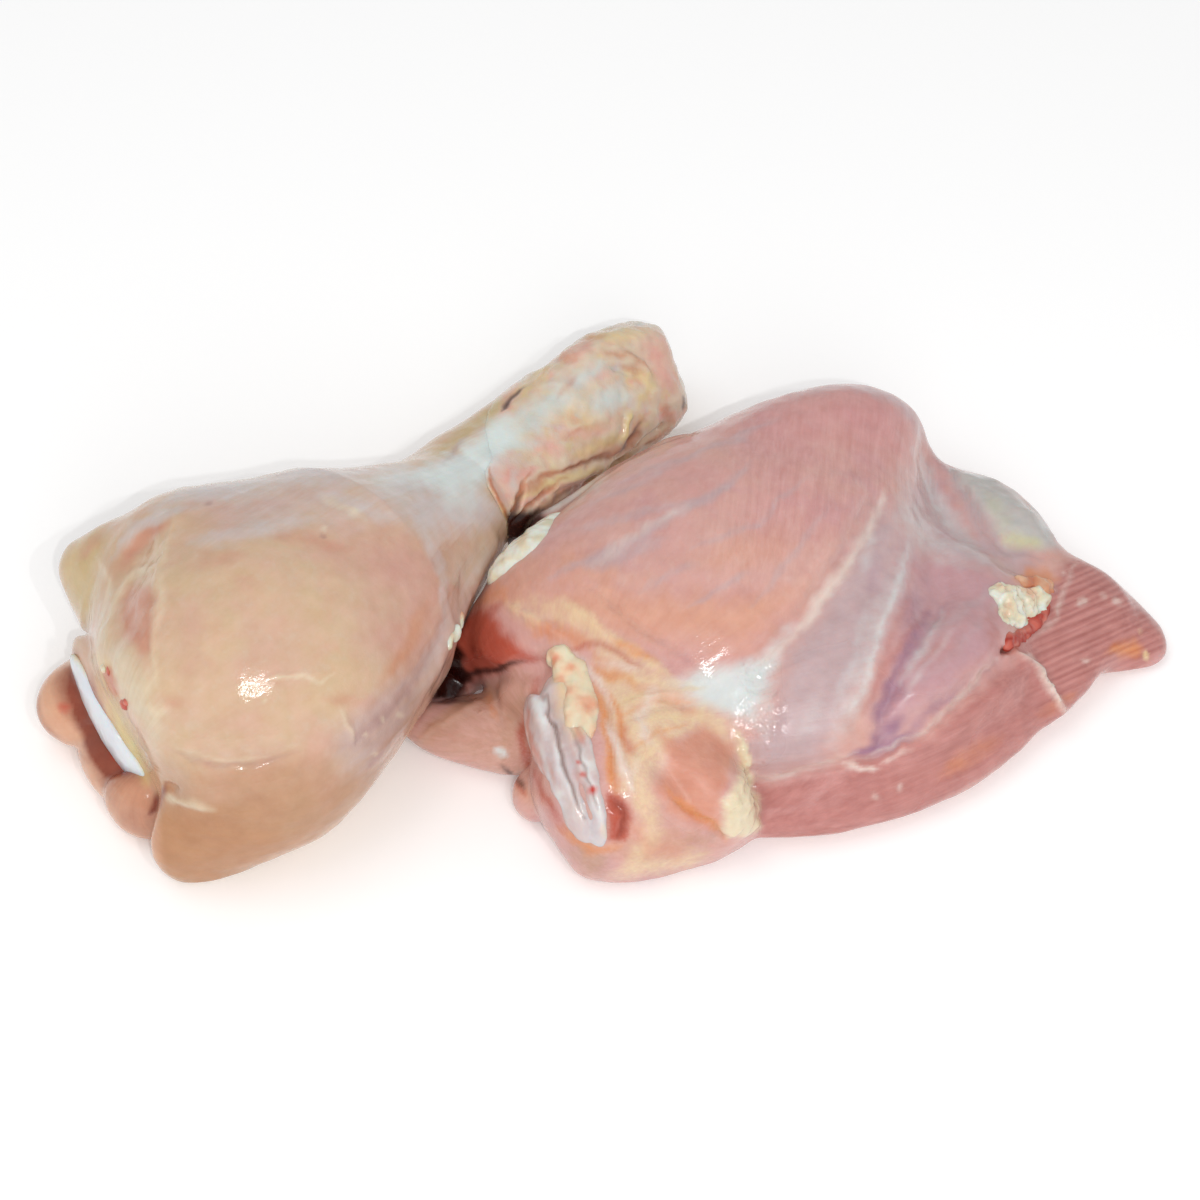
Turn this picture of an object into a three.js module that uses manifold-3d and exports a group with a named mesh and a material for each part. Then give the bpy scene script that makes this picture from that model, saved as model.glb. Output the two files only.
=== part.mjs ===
// A raw chicken leg quarter without its skin, cut through at the knee into a drumstick and a
// thigh that lie side by side and just touch. Millimetres; +X runs from the drumstick's knee
// end to the thigh's tip, +Y to the back, +Z up. The underside is flat where it lies at z = 0.

import * as THREE from 'three';
import { mergeVertices } from 'three/addons/utils/BufferGeometryUtils.js';
import Module from 'manifold-3d';

const wasm = await Module();
wasm.setup();

// Driving sizes. A half size is measured from a muscle's middle: along, across and up.
const CALF_HALF = [29.5, 26, 25];       // the drumstick's round belly
const SHANK_RADIUS = 7;                 // the narrowest part, above the ankle
const ANKLE_HALF = [20.5, 8.5, 14];     // the ankle in its sleeve of skin
const KNEE_PLATE_HALF = [13.5, 9.5, 2.6];
const DOME_HALF = [38.5, 29.5, 21.5];   // the thigh's large muscle
const HIP_HALF = [19, 17.5, 10];        // the thin part towards the thigh's tip
const STRIP_HALF = [29, 11.5, 7.5];     // the band along the thigh's front edge
const BONE_RIDGE_HALF = [13.5, 4.2, 6.5];
const LIE_SOFTNESS = 1.5;               // how softly flesh rounds up from the surface it lies on
const JOIN_GAP = 0.3;                   // between a cartilage or the sleeve and the flesh round it
const TOUCH_GAP = 0.6;                  // between the drumstick and the thigh that leans on it

// ---------------------------------------------------------------- forms
// A form is a function that gives a point's rough distance to a surface, negative inside.

function turned(yaw = 0, pitch = 0) {
  const euler = new THREE.Euler(0, -THREE.MathUtils.degToRad(pitch), THREE.MathUtils.degToRad(yaw), 'ZYX');
  return new THREE.Quaternion().setFromEuler(euler);
}

// A muscle or a lump: a smooth body with three half sizes, turned in its own place.
function lump(at, half, turn = new THREE.Quaternion()) {
  const middle = new THREE.Vector3(...at);
  const back = turn.clone().invert();
  const [a, b, c] = half;
  const q = new THREE.Vector3();
  return (p) => {
    q.copy(p).sub(middle).applyQuaternion(back);
    const reach = Math.hypot(q.x / a, q.y / b, q.z / c) + 1e-9;
    const slope = Math.hypot(q.x / a ** 2, q.y / b ** 2, q.z / c ** 2) + 1e-9;
    return (reach * (reach - 1)) / slope;
  };
}

// A round limb that tapers from one end to the other.
function limb(from, to, fromRadius, toRadius) {
  const start = new THREE.Vector3(...from);
  const run = new THREE.Vector3(...to).sub(start);
  const q = new THREE.Vector3();
  return (p) => {
    q.copy(p).sub(start);
    const t = THREE.MathUtils.clamp(q.dot(run) / run.lengthSq(), 0, 1);
    return q.addScaledVector(run, -t).length() - THREE.MathUtils.lerp(fromRadius, toRadius, t);
  };
}

function softMin(a, b, softness) {
  const near = Math.max(softness - Math.abs(a - b), 0) / softness;
  return Math.min(a, b) - (near * near * softness) / 4;
}

const softMax = (a, b, softness) => -softMin(-a, -b, softness);

// Grows forms into one another; each but the first says how softly it runs into the rest.
function grown(first, ...others) {
  return (p) => others.reduce((d, [form, softness]) => softMin(d, form(p), softness), first(p));
}

// Raises the surface along a line, or sinks it where the height is below zero.
function traced(form, lines) {
  const segment = new THREE.Line3();
  const near = new THREE.Vector3();
  const paths = lines.map(({ path, width, height }) => ({
    points: path.map((point) => new THREE.Vector3(...point)), width, height,
  }));
  return (p) => paths.reduce((d, { points, width, height }) => {
    let away = Infinity;
    for (let i = 1; i < points.length; i += 1) {
      segment.set(points[i - 1], points[i]).closestPointToPoint(p, true, near);
      away = Math.min(away, near.distanceToSquared(p));
    }
    return d - height * Math.exp(-away / width ** 2);
  }, form(p));
}

const lying = (form) => (p) => softMax(form(p), -p.z, LIE_SOFTNESS);
const swollen = (form, by) => (p) => form(p) - by;

// ---------------------------------------------------------------- surfaces

// Drapes a sphere's skin over a form. Each vertex is sent in from outside, straight towards
// a spine inside the form, and stops on the surface. The share of rows at either end fans
// out round the spine's end points, as on a capsule.
function draped(form, spine, { around, along, endShare = 0.3, reach = 70 }) {
  const [start, end] = spine.map((point) => new THREE.Vector3(...point));
  const axis = end.clone().sub(start).normalize();
  const side = new THREE.Vector3(0, 0, 1).cross(axis).normalize();
  const top = side.clone().cross(axis);
  const skin = new THREE.SphereGeometry(1, around, along);
  const places = skin.getAttribute('position');
  const from = new THREE.Vector3();
  const way = new THREE.Vector3();
  const p = new THREE.Vector3();
  for (let i = 0; i < places.count; i += 1) {
    way.fromBufferAttribute(places, i);
    const row = 1 - Math.acos(THREE.MathUtils.clamp(way.y, -1, 1)) / Math.PI;
    const round = Math.atan2(way.z, way.x);
    const along01 = THREE.MathUtils.clamp((row - endShare) / (1 - 2 * endShare), 0, 1);
    const past = row < 0.5 ? Math.min(row / endShare, 1) - 1 : 1 - Math.min((1 - row) / endShare, 1);
    const lean = past * (Math.PI / 2);
    from.lerpVectors(start, end, along01);
    way.set(0, 0, 0)
      .addScaledVector(side, Math.cos(lean) * Math.cos(round))
      .addScaledVector(top, Math.cos(lean) * Math.sin(round))
      .addScaledVector(axis, Math.sin(lean));
    let far = reach;
    while (far > 1 && form(p.copy(from).addScaledVector(way, far - 1)) > 0) far -= 1;
    let low = far - 1;
    for (let step = 0; step < 24; step += 1) {
      const middle = (low + far) / 2;
      if (form(p.copy(from).addScaledVector(way, middle)) > 0) far = middle;
      else low = middle;
    }
    p.copy(from).addScaledVector(way, far);
    if (Math.abs(p.z) < 0.01) p.z = 0;
    places.setXYZ(i, p.x, p.y, p.z);
  }
  return solid(skin);
}

function solid(geometry) {
  geometry.deleteAttribute('normal');
  geometry.deleteAttribute('uv');
  const merged = mergeVertices(geometry, 1e-4);
  return new wasm.Manifold(new wasm.Mesh({
    numProp: 3,
    vertProperties: new Float32Array(merged.getAttribute('position').array),
    triVerts: new Uint32Array(merged.getIndex().array),
  }));
}

function mesh(name, body, { color, roughness }) {
  const { vertProperties, triVerts } = body.getMesh();
  const geometry = new THREE.BufferGeometry();
  geometry.setAttribute('position', new THREE.BufferAttribute(vertProperties, 3));
  geometry.setIndex(new THREE.BufferAttribute(triVerts, 1));
  geometry.computeVertexNormals();
  const result = new THREE.Mesh(geometry, new THREE.MeshStandardMaterial({ color, roughness, metalness: 0 }));
  result.name = name;
  return result;
}

// ---------------------------------------------------------------- finishes

const paleMeat = { color: 0xd9b596, roughness: 0.35 };
const pinkMeat = { color: 0xcf9080, roughness: 0.35 };
const cartilage = { color: 0xdcdce4, roughness: 0.25 };
const skinnyAnkle = { color: 0xdcc9a0, roughness: 0.4 };

// ---------------------------------------------------------------- drumstick, knee end
// The shin bone's end shows at the knee as a pale plate in a shallow bed. Its face looks
// left, a little to the front and down; its long side slopes from the back down to the front.

const kneeMiddle = [-81.4, -28.7, 13.9];
const kneeOut = new THREE.Vector3(-0.84, -0.53, -0.11).normalize();
const kneeAlong = new THREE.Vector3(0.49, -0.74, -0.47).projectOnPlane(kneeOut).normalize();
const kneeTurn = new THREE.Quaternion().setFromRotationMatrix(
  new THREE.Matrix4().makeBasis(kneeAlong, kneeOut.clone().cross(kneeAlong), kneeOut),
);

function onKnee(outwards) {
  return new THREE.Vector3(...kneeMiddle).addScaledVector(kneeOut, outwards).toArray();
}

const kneePlate = lump(onKnee(-0.4), KNEE_PLATE_HALF, kneeTurn);
const kneeCapsule = lump(onKnee(-2.8), KNEE_PLATE_HALF.map((half) => half + 1.2), kneeTurn);

function cutAtKnee(form) {
  const middle = new THREE.Vector3(...kneeMiddle);
  const q = new THREE.Vector3();
  return (p) => softMax(form(p), q.copy(p).sub(middle).dot(kneeOut) + 0.6, 4);
}

// ---------------------------------------------------------------- drumstick, flesh

const lowerLeg = grown(
  lump([-56, -25.5, 23], CALF_HALF, turned(44)),
  [lump([-55.5, -37.5, 16], [15.5, 15, 17], turned(20)), 8],                   // front of the shin
  [lump([-67, -7.5, 24.5], [18, 15, 17], turned(30)), 8],                      // back of the knee
  [limb([-41, -4.5, 21.5], [-22, 17.5, 17.5], 20.5, 9), 12],                   // belly into shank
  [limb([-23, 24.5, 15], [-8.5, 37, 13], SHANK_RADIUS, SHANK_RADIUS + 1), 8],
);

const drumstickLines = [
  { path: [[-30, 15, 28], [-24, 24, 24], [-17, 31, 22]], width: 3, height: 0.9 },             // tendon
  { path: [[-69, -51, 24], [-66, -50.5, 30], [-51, -50.5, 31.5]], width: 3, height: -0.9 },   // low crease
  { path: [[-18.5, 4, 21], [-27, -23, 24], [-36, -41, 22]], width: 2.2, height: 0.9 },        // edge fold
  { path: [[-70.5, -9.5, 41.5], [-69.5, -31, 44], [-70.5, -44, 37]], width: 2.5, height: 0.6 },
  { path: [[-75, -14, 40], [-76.5, -24, 39], [-76, -31, 38.5]], width: 4, height: -1.2 },     // beside the knee
];

const drumstick = lying(traced(grown(
  cutAtKnee(lowerLeg),
  [kneeCapsule, 2],
  [lump([-63.5, -48.5, 9], [9.5, 4.5, 11], turned(20)), 6],                    // low corner in front
  [lump([-81.5, -4, 22.5], [8, 6.5, 9.5], turned(30)), 6],                     // corner behind the knee
  [lump([-83, -18.5, 8], [11.5, 8.5, 8], turned(20)), 2],                      // tag under the knee
  [lump([-75.5, -40.5, 6.5], [6.5, 4, 6.5], turned(-30)), 2],                  // small tag in front of it
), drumstickLines));

// ---------------------------------------------------------------- drumstick, ankle sleeve
// Skin and sinew left round the ankle, with a loose lower edge that folds on itself.

const ankleLines = [
  { path: [[9.5, 42, 12], [0, 32.5, 11.5], [-12, 20, 13]], width: 1.8, height: -1.8 },        // fold
  { path: [[8, 40, 15], [-7, 28.5, 15.5], [-13, 22, 16]], width: 2.5, height: 0.7 },          // lip above it
];

const ankleSleeve = lying(traced(grown(
  lump([-1.5, 45.5, 12.5], ANKLE_HALF, turned(49)),
  [lump([6.5, 45.5, 12], [11.5, 6.5, 8], turned(38)), 5],
  [limb([-14.5, 27, 14.5], [-3, 41, 14], 9.3, 10), 5],                         // cuff round the shank
  [lump([-16, 18, 17], [6.5, 6, 6], turned(60)), 4],                           // its loose corner
  [lump([-11, 22, 14], [8, 4.5, 6], turned(48)), 3],
), ankleLines));

// ---------------------------------------------------------------- thigh, bone end
// The thigh bone's knuckle: two ridges side by side with a groove between, and a knob above.

const boneEnd = grown(
  lump([-7.5, -39.5, 16], BONE_RIDGE_HALF, turned(-70, -6)),
  [lump([-2, -40.5, 19.5], [13, 4, 6], turned(-72, -16)), 1.5],
  [lump([-3.5, -29.5, 22], [6, 3.8, 4], turned(-60)), 2],
);

// ---------------------------------------------------------------- thigh, flesh

const thighMuscles = grown(
  lump([20, -1, 15], DOME_HALF, turned(36.5, 3.5)),
  [lump([38.5, 26.5, 15.5], [20, 13, 16.5], turned(24, 2.5)), 10],             // back
  [lump([-3.5, -9.5, 13.5], [19, 18, 14.5], turned(70)), 8],                   // left
  [lump([42, -20, 11], [30, 18, 15], turned(20)), 6],                          // inner muscle
  [lump([61, 15, 7], HIP_HALF, turned(-37, -2.5)), 8],
  [lump([82.5, 3.5, 3.5], [16, 8.5, 5], turned(-24.5, -7)), 6],                // tip
  [lump([71.5, -7, 5.5], [22.5, 13, 6], turned(50.5, 2.5)), 6],                // band into the tip
  [lump([4.5, -35.5, 11], [18.5, 15.5, 14], turned(70.5)), 8],                 // knee
  [lump([44.5, -30, 5], STRIP_HALF, turned(21.5, -1)), 3],                     // front band
  [lump([9.5, -47.5, 5.5], [14, 4, 8], turned(14)), 5],
  [lump([15.5, -43, 11], [9.5, 7, 9.5], turned(-20)), 4],                      // flesh over the knee
  [lump([-17, -24, 5.5], [17.5, 7, 6], turned(-11.5, -3)), 2],                 // flap to the left
  [lump([-10.5, -36.5, 4.5], [4, 4.5, 4.5]), 2],                               // nub below the flap
  [lump([70.5, 18.5, 11], [8, 3.6, 4], turned(-52)), 1.5],                     // pale fat at the back
  [lump([70.5, 1, 12], [3.6, 2.6, 2.6], turned(20)), 1],                       // fat lumps on the hip
  [lump([74.5, 1.5, 11.5], [3.6, 2.8, 2.6], turned(-20)), 1],
);

const thighLines = [
  { path: [[47, 5, 30], [38.5, -13.5, 29.5], [26, -28, 25]], width: 3, height: -1.4 },        // dome's edge
  { path: [[43, 6, 33], [33, -14, 32], [20, -27, 28]], width: 4, height: 0.5 },
  { path: [[60, 2, 17], [55, -12, 21.5], [44, -34.5, 20]], width: 3.5, height: -2.2 },        // valley
  { path: [[24, -40.5, 11], [39, -38.5, 15], [54, -31, 18.5], [68, -17, 16.5]], width: 2.5, height: -1.8 },
  { path: [[57, 28, 19], [63, 10, 16], [68, 3, 13.5]], width: 4, height: -1.6 },              // hip crease
  { path: [[-9.5, -23, 21], [-16.5, -19, 15], [-28, -18, 8]], width: 3, height: -2.5 },       // above the flap
  { path: [[68, -16.5, 15.5], [72, -15, 12], [77.5, -19.5, 6]], width: 1.2, height: 0.9 },    // fat cord
  { path: [[9.5, -44.5, 21.5], [14.5, -47, 16.5], [18.5, -49, 10]], width: 2, height: -1.2 },
];

const lyingThigh = lying(traced(thighMuscles, thighLines));
const thigh = (p) => softMax(lyingThigh(p), TOUCH_GAP - drumstick(p), 1);

// ---------------------------------------------------------------- the pieces

const kneeSpine = [-7, 7].map((along) =>
  new THREE.Vector3(...onKnee(-0.4)).addScaledVector(kneeAlong, along).toArray());
const boneSpine = [[-7, -31, 17.5], [-3, -48, 17]];
const ankleSpine = [[-12, 25, 14], [2, 46, 13.5]];
const drumstickSpine = [[-66, -30, 17], [-12, 32, 14]];
const thighSpine = [[10, -12, 9], [66, 3, 6]];

const small = { around: 24, along: 16 };
const sleeveFacets = { around: 28, along: 24 };
const drumstickFacets = { around: 42, along: 38 };
const thighFacets = { around: 52, along: 50 };

const kneePlateBody = draped(kneePlate, kneeSpine, small);
const boneBody = draped(boneEnd, boneSpine, small);
const sleeveBody = draped(ankleSleeve, ankleSpine, sleeveFacets);
const drumstickBody = draped(drumstick, drumstickSpine, drumstickFacets)
  .subtract(draped(swollen(kneePlate, JOIN_GAP), kneeSpine, small))
  .subtract(draped(swollen(ankleSleeve, JOIN_GAP), ankleSpine, sleeveFacets));
const thighBody = draped(thigh, thighSpine, thighFacets)
  .subtract(draped(swollen(boneEnd, JOIN_GAP), boneSpine, small));

const legQuarter = new THREE.Group();
legQuarter.add(
  mesh('drumstick_meat', drumstickBody, paleMeat),
  mesh('drumstick_knee_cartilage', kneePlateBody, cartilage),
  mesh('drumstick_ankle_sleeve', sleeveBody, skinnyAnkle),
  mesh('thigh_meat', thighBody, pinkMeat),
  mesh('thigh_bone_end', boneBody, cartilage),
);

// The origin is under the middle of the whole, on the surface that it lies on.
const middle = new THREE.Box3().setFromObject(legQuarter, true).getCenter(new THREE.Vector3());
legQuarter.position.set(-middle.x, -middle.y, 0);

export default legQuarter;
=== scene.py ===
import math
import bpy
import numpy as np
import openvdb
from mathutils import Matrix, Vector, noise


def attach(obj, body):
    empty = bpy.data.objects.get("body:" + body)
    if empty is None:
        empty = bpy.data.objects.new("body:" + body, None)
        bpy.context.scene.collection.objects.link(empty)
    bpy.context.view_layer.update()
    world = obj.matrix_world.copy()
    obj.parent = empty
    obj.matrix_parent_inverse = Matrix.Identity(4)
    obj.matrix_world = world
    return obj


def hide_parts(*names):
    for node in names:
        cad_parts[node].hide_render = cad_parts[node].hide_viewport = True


# A raw chicken leg quarter without its skin, cut through at the knee. The drumstick lies on the
# left and the thigh on the right, wet and glossy, with cartilage showing at both cut ends.

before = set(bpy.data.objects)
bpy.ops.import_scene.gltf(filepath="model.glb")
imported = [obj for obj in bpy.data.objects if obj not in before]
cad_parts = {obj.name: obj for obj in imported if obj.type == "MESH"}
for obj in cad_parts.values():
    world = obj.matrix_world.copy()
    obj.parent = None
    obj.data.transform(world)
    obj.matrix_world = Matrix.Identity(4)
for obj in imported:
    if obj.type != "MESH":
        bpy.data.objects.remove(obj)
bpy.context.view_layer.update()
scene = bpy.context.scene

# ------------------------------------------------------------------------------ the view
# The meat is seen from the front and from well above. One pixel of the 1200 covers 0.17 mm at
# the meat, and marks on it are drawn by pixel, so the view is settled before the pieces.

ELEVATION = math.radians(48)
DISTANCE = 650.0                          # millimetres from the lens to the middle of the meat
PIXEL = 0.17                              # millimetres that a pixel covers at that distance
PHOTO_SIDE = 1200
MEAT_MIDDLE = np.array((0.0, 0.0, 12.0))
FORMS_TO_FRAME = np.array((-1.6013, -3.6381, 0.0))   # the forms' zero is not quite under the middle
LOOK = np.array((0.0, math.cos(ELEVATION), -math.sin(ELEVATION)))
RISE = np.array((0.0, math.sin(ELEVATION), math.cos(ELEVATION)))
EYE = MEAT_MIDDLE - DISTANCE * LOOK

camera = bpy.data.objects.new("camera", bpy.data.cameras.new("camera"))
camera.location = (EYE + FORMS_TO_FRAME) / 1000
camera.rotation_euler = (math.pi / 2 - ELEVATION, 0, 0)
camera.data.sensor_width = 36
camera.data.lens = camera.data.sensor_width * DISTANCE / PIXEL / PHOTO_SIDE
camera.data.clip_start = 0.01
scene.collection.objects.link(camera)
scene.camera = camera


def in_photo(points):
    """The pixel where each point, in millimetres, is seen."""
    away = points - EYE
    depth = away @ LOOK
    zoom = DISTANCE / PIXEL / depth
    return np.stack([PHOTO_SIDE / 2 + away[:, 0] * zoom, PHOTO_SIDE / 2 - away @ RISE * zoom], 1)


# ------------------------------------------------------------------------------ drumstick flesh
# The lower leg's muscles on the shin bone, smooth under a clear membrane: a round belly that
# tapers into the shank. It was cut flat through the knee, which left two lobes of flesh and a
# tag beside and under the bone's end.

CALF_HALF = (29.5, 26, 25)
SHANK_RADIUS = 7
LIE_SOFTNESS = 1.5
FLESH_STEP = 0.52


def turned(yaw=0.0, pitch=0.0):
    """Rows are a muscle's own axes: along, across and up."""
    a, b = math.radians(yaw), math.radians(pitch)
    along = (math.cos(a) * math.cos(b), math.sin(a) * math.cos(b), math.sin(b))
    across = (-math.sin(a), math.cos(a), 0.0)
    return np.array((along, across, np.cross(along, across)))


def lump(at, half, axes=None):
    """A muscle or a lump as a form: the rough distance of points to its surface, negative inside."""
    middle, half = np.array(at, np.float32), np.array(half, np.float32)
    axes = np.eye(3, dtype=np.float32) if axes is None else np.array(axes, np.float32)

    def form(p):
        q = (p - middle) @ axes.T / half
        reach = np.sqrt((q * q).sum(1)) + 1e-9
        slope = np.sqrt(((q / half) ** 2).sum(1)) + 1e-9
        return reach * (reach - 1) / slope
    return form


def limb(start, end, start_radius, end_radius):
    """A round form that tapers from one end to the other."""
    start = np.array(start, np.float32)
    run = np.array(end, np.float32) - start

    def form(p):
        q = p - start
        t = np.clip(q @ run / (run @ run), 0, 1)
        return np.linalg.norm(q - t[:, None] * run, axis=1) - start_radius - (end_radius - start_radius) * t
    return form


def soft_min(a, b, softness):
    """The lower of two values, or a little less where they are closer than the softness."""
    near = np.maximum(softness - np.abs(a - b), 0) / softness
    return np.minimum(a, b) - near * near * softness / 4


def soft_max(a, b, softness):
    return -soft_min(-a, -b, softness)


def grown(first, *others):
    """Forms that have grown into one another; each but the first says how softly."""
    def form(p):
        d = first(p)
        for other, softness in others:
            d = soft_min(d, other(p), softness)
        return d
    return form


def to_path(p, path):
    """How far points are from a line of straight stretches, squared, and how far along it that is."""
    path = np.array(path, np.float32)
    away, share, gone = np.full(len(p), np.inf, np.float32), np.zeros(len(p), np.float32), 0.0
    for start, run in zip(path[:-1], np.diff(path, axis=0)):
        t = np.clip((p - start) @ run / (run @ run), 0, 1)
        d = ((p - start - t[:, None] * run) ** 2).sum(1)
        length = np.linalg.norm(run)
        share = np.where(d < away, gone + t * length, share)
        away = np.minimum(away, d)
        gone += length
    return away, share / gone


def traced(base, lines):
    """Raises a form along lines of (path, width, height), or sinks it where the height is negative."""
    def form(p):
        d = base(p)
        for path, width, height in lines:
            d = d - height * np.exp(-to_path(p, path)[0] / width ** 2)
        return d
    return form


def lying(base):
    """A form that the board holds up: cut off softly at height 0."""
    return lambda p: soft_max(base(p), -p[:, 2], LIE_SOFTNESS)


def finer(rough, axis):
    """Puts one value between every two neighbours along an axis."""
    rough = np.moveaxis(rough, axis, 0)
    full = np.empty((2 * len(rough) - 1, *rough.shape[1:]), np.float32)
    full[::2] = rough
    full[1::2] = (rough[:-1] + rough[1:]) / 2
    return np.moveaxis(full, 0, axis)


class Skin:
    """A piece's surface while it is worked on: points in millimetres, normals and faces."""

    def __init__(self, form, low, high, step):
        # The form is worked out at every other spot of a grid, and near the surface at every one.
        low = np.array(low, np.float32)
        counts = np.ceil((np.array(high) - low) / (2 * step)).astype(int) + 1
        spots = np.stack(np.meshgrid(*map(np.arange, counts), indexing="ij"), -1).reshape(-1, 3)
        d = form((low + spots * 2 * step).astype(np.float32)).reshape(counts)
        for axis in range(3):
            d = finer(d, axis)
        near = np.argwhere(np.abs(d) < 2.2 * step)
        d[tuple(near.T)] = form((low + near * step).astype(np.float32))
        grid = openvdb.FloatGrid(background=3 * step)
        grid.copyFromArray(np.ascontiguousarray(np.clip(d, -3 * step, 3 * step)))
        places, quads = grid.convertToQuads(isovalue=0.0)
        self.points = low + places.astype(np.float32) * step
        self.quads = quads[:, ::-1]
        self.form = form
        # Two short moves down the form's slope bring the points from the grid's steps onto it.
        for _ in range(2):
            slope = self.slope()
            self.points -= (form(self.points) / np.maximum((slope ** 2).sum(1), 0.2))[:, None] * slope
        self.settle()

    def slope(self, reach=0.1):
        """How the form rises at each point, felt this many millimetres to either side."""
        return np.stack([
            (self.form(self.points + reach * side) - self.form(self.points - reach * side)) / (2 * reach)
            for side in np.eye(3, dtype=np.float32)], 1)

    def settle(self):
        """Works out the normals from the form, and where the photograph shows each point."""
        slope = self.slope()
        self.normals = slope / np.linalg.norm(slope, axis=1, keepdims=True)
        self.pixels = in_photo(self.points)
        to_eye = EYE - self.points
        to_eye /= np.linalg.norm(to_eye, axis=1, keepdims=True)
        self.facing = np.clip((self.normals * to_eye).sum(1) * 4, 0, 1)
        # Marks wander by up to 5 pixels over 7 mm and 3 over 2.2 mm, since nothing in flesh is straight.
        wander = [self.lumps(size, seed) * reach for size, reach in ((7, 5), (2.2, 3)) for seed in (20, 40)]
        self.uneven = self.lumps(2.5, 60)
        self.drawn = self.pixels + np.stack([wander[0] + wander[2], wander[1] + wander[3]], 1)

    def line(self, width, pixels):
        """A mark along a line drawn on the photograph: 1 on it, thinner and fainter at its ends."""
        pixels = np.array(pixels, float)
        dot = len(pixels) == 1
        away, share = to_path(self.drawn, np.concatenate([pixels, pixels + 0.1]) if dot else pixels)
        taper = 1.0 if dot else np.clip(np.minimum(share, 1 - share) * 5, 0, 1)
        reach = width * (0.55 + 0.45 * taper) * (1 + 0.3 * self.uneven)
        mark = np.clip(1 - np.sqrt(away) / reach, 0, 1)
        return mark * mark * (3 - 2 * mark) * (0.4 + 0.6 * taper) * self.facing

    def area(self, softness, pixels):
        """A mark over an area outlined on the photograph, with its edge this many pixels soft."""
        away = np.sqrt(to_path(self.drawn, (*pixels, pixels[0]))[0])
        x, y = self.drawn.T
        inside = np.zeros(len(x), bool)
        for (ax, ay), (bx, by) in zip(pixels, (*pixels[1:], pixels[0])):
            crosses = (ay > y) != (by > y)
            inside ^= crosses & (x < (bx - ax) * (y - ay) / (by - ay + 1e-9) + ax)
        mark = np.clip(0.5 + np.where(inside, away, -away) / softness / 2, 0, 1)
        return mark * mark * (3 - 2 * mark) * self.facing

    def painted(self, lines=(), areas=()):
        """Strokes laid over one another, each as strength, width and then pixels x, y, x, y..."""
        bare = np.ones(len(self.points))
        for strokes, mark in ((lines, self.line), (areas, self.area)):
            for strength, width, *flat in strokes:
                bare *= 1 - strength * mark(width, list(zip(flat[::2], flat[1::2])))
        return 1 - bare

    def marks(self, drawn):
        """Named marks, each painted from its lines and its areas."""
        return {key: self.painted(lines, areas) for key, (lines, areas) in drawn.items()}

    def relief(self, *strokes):
        """Ridges and grooves along lines, each as height in millimetres, width and then pixels."""
        return sum(height * self.line(width, list(zip(flat[::2], flat[1::2]))) for height, width, *flat in strokes)

    def lumps(self, size, seed=0.0):
        """Soft unevenness between -1 and 1, with lumps of about this many millimetres."""
        away = Vector((seed, 0, 0))
        return np.array([noise.noise(Vector(p) / size + away) for p in self.points.tolist()], np.float32)

    def push(self, heights):
        """Moves the surface out along its normals, but not below what the meat lies on."""
        self.points += np.asarray(heights)[:, None] * self.normals
        self.points[:, 2] = np.maximum(self.points[:, 2], 0)

    def pick(self, x, y):
        """The point of the surface that the photograph shows at a pixel, and its normal."""
        away = ((self.pixels - (x, y)) ** 2).sum(1)
        near = np.where((away < 5 ** 2) & (self.facing > 0.1))[0]
        near = near if len(near) else away.argsort()[:8]
        best = near[((self.points[near] - EYE) @ LOOK + away[near] * 0.05).argmin()]
        return self.points[best], self.normals[best]

    def piece(self, name, finish, marks=None):
        """The surface as a Blender mesh, with each mark as an attribute that the finish reads."""
        mesh = bpy.data.meshes.new(name)
        mesh.from_pydata(((self.points + FORMS_TO_FRAME) / 1000).tolist(), [], self.quads.tolist())
        mesh.polygons.foreach_set("use_smooth", [True] * len(mesh.polygons))
        for key, values in (marks or {}).items():
            wide = np.ndim(values) == 2
            made = mesh.attributes.new(key, "FLOAT_VECTOR" if wide else "FLOAT", "POINT")
            made.data.foreach_set("vector" if wide else "value", np.ravel(values).astype(np.float32))
        mesh.materials.append(finish)
        made = bpy.data.objects.new(name, mesh)
        scene.collection.objects.link(made)
        return made


class Wire:
    """A socket of a finish. Arithmetic on it adds Math nodes, and node() adds any other."""

    def __init__(self, tree, socket=None):
        self.tree, self.socket = tree, socket

    def node(self, kind, settings=None, sockets=None, output=0):
        """Adds a node of a type, with its settings and then its sockets' values or links."""
        made = self.tree.nodes.new(kind)
        for key, value in (settings or {}).items():
            setattr(made, key, value)
        for key, value in (sockets or {}).items():
            if isinstance(value, Wire):
                self.tree.links.new(value.socket, made.inputs[key])
            else:
                made.inputs[key].default_value = value
        return Wire(self.tree, made.outputs[output])

    def math(self, operation, a, b, clamp=False):
        return self.node("ShaderNodeMath", {"operation": operation, "use_clamp": clamp}, {0: a, 1: b})

    def __add__(self, other):
        return self.math("ADD", self, other)

    def __sub__(self, other):
        return self.math("SUBTRACT", self, other)

    def __rsub__(self, other):
        return self.math("SUBTRACT", other, self)

    def __mul__(self, other):
        return self.math("MULTIPLY", self, other)

    __radd__, __rmul__ = __add__, __mul__

    def clamped(self):
        return self.math("ADD", self, 0.0, clamp=True)


def rgb(red, green, blue):
    """A colour as a screen shows it, 0 to 255, turned into the linear one that shaders take."""
    linear = [(c / 255 / 12.92) if c < 10.3 else ((c / 255 + 0.055) / 1.055) ** 2.4 for c in (red, green, blue)]
    return (*linear, 1.0)


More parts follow.
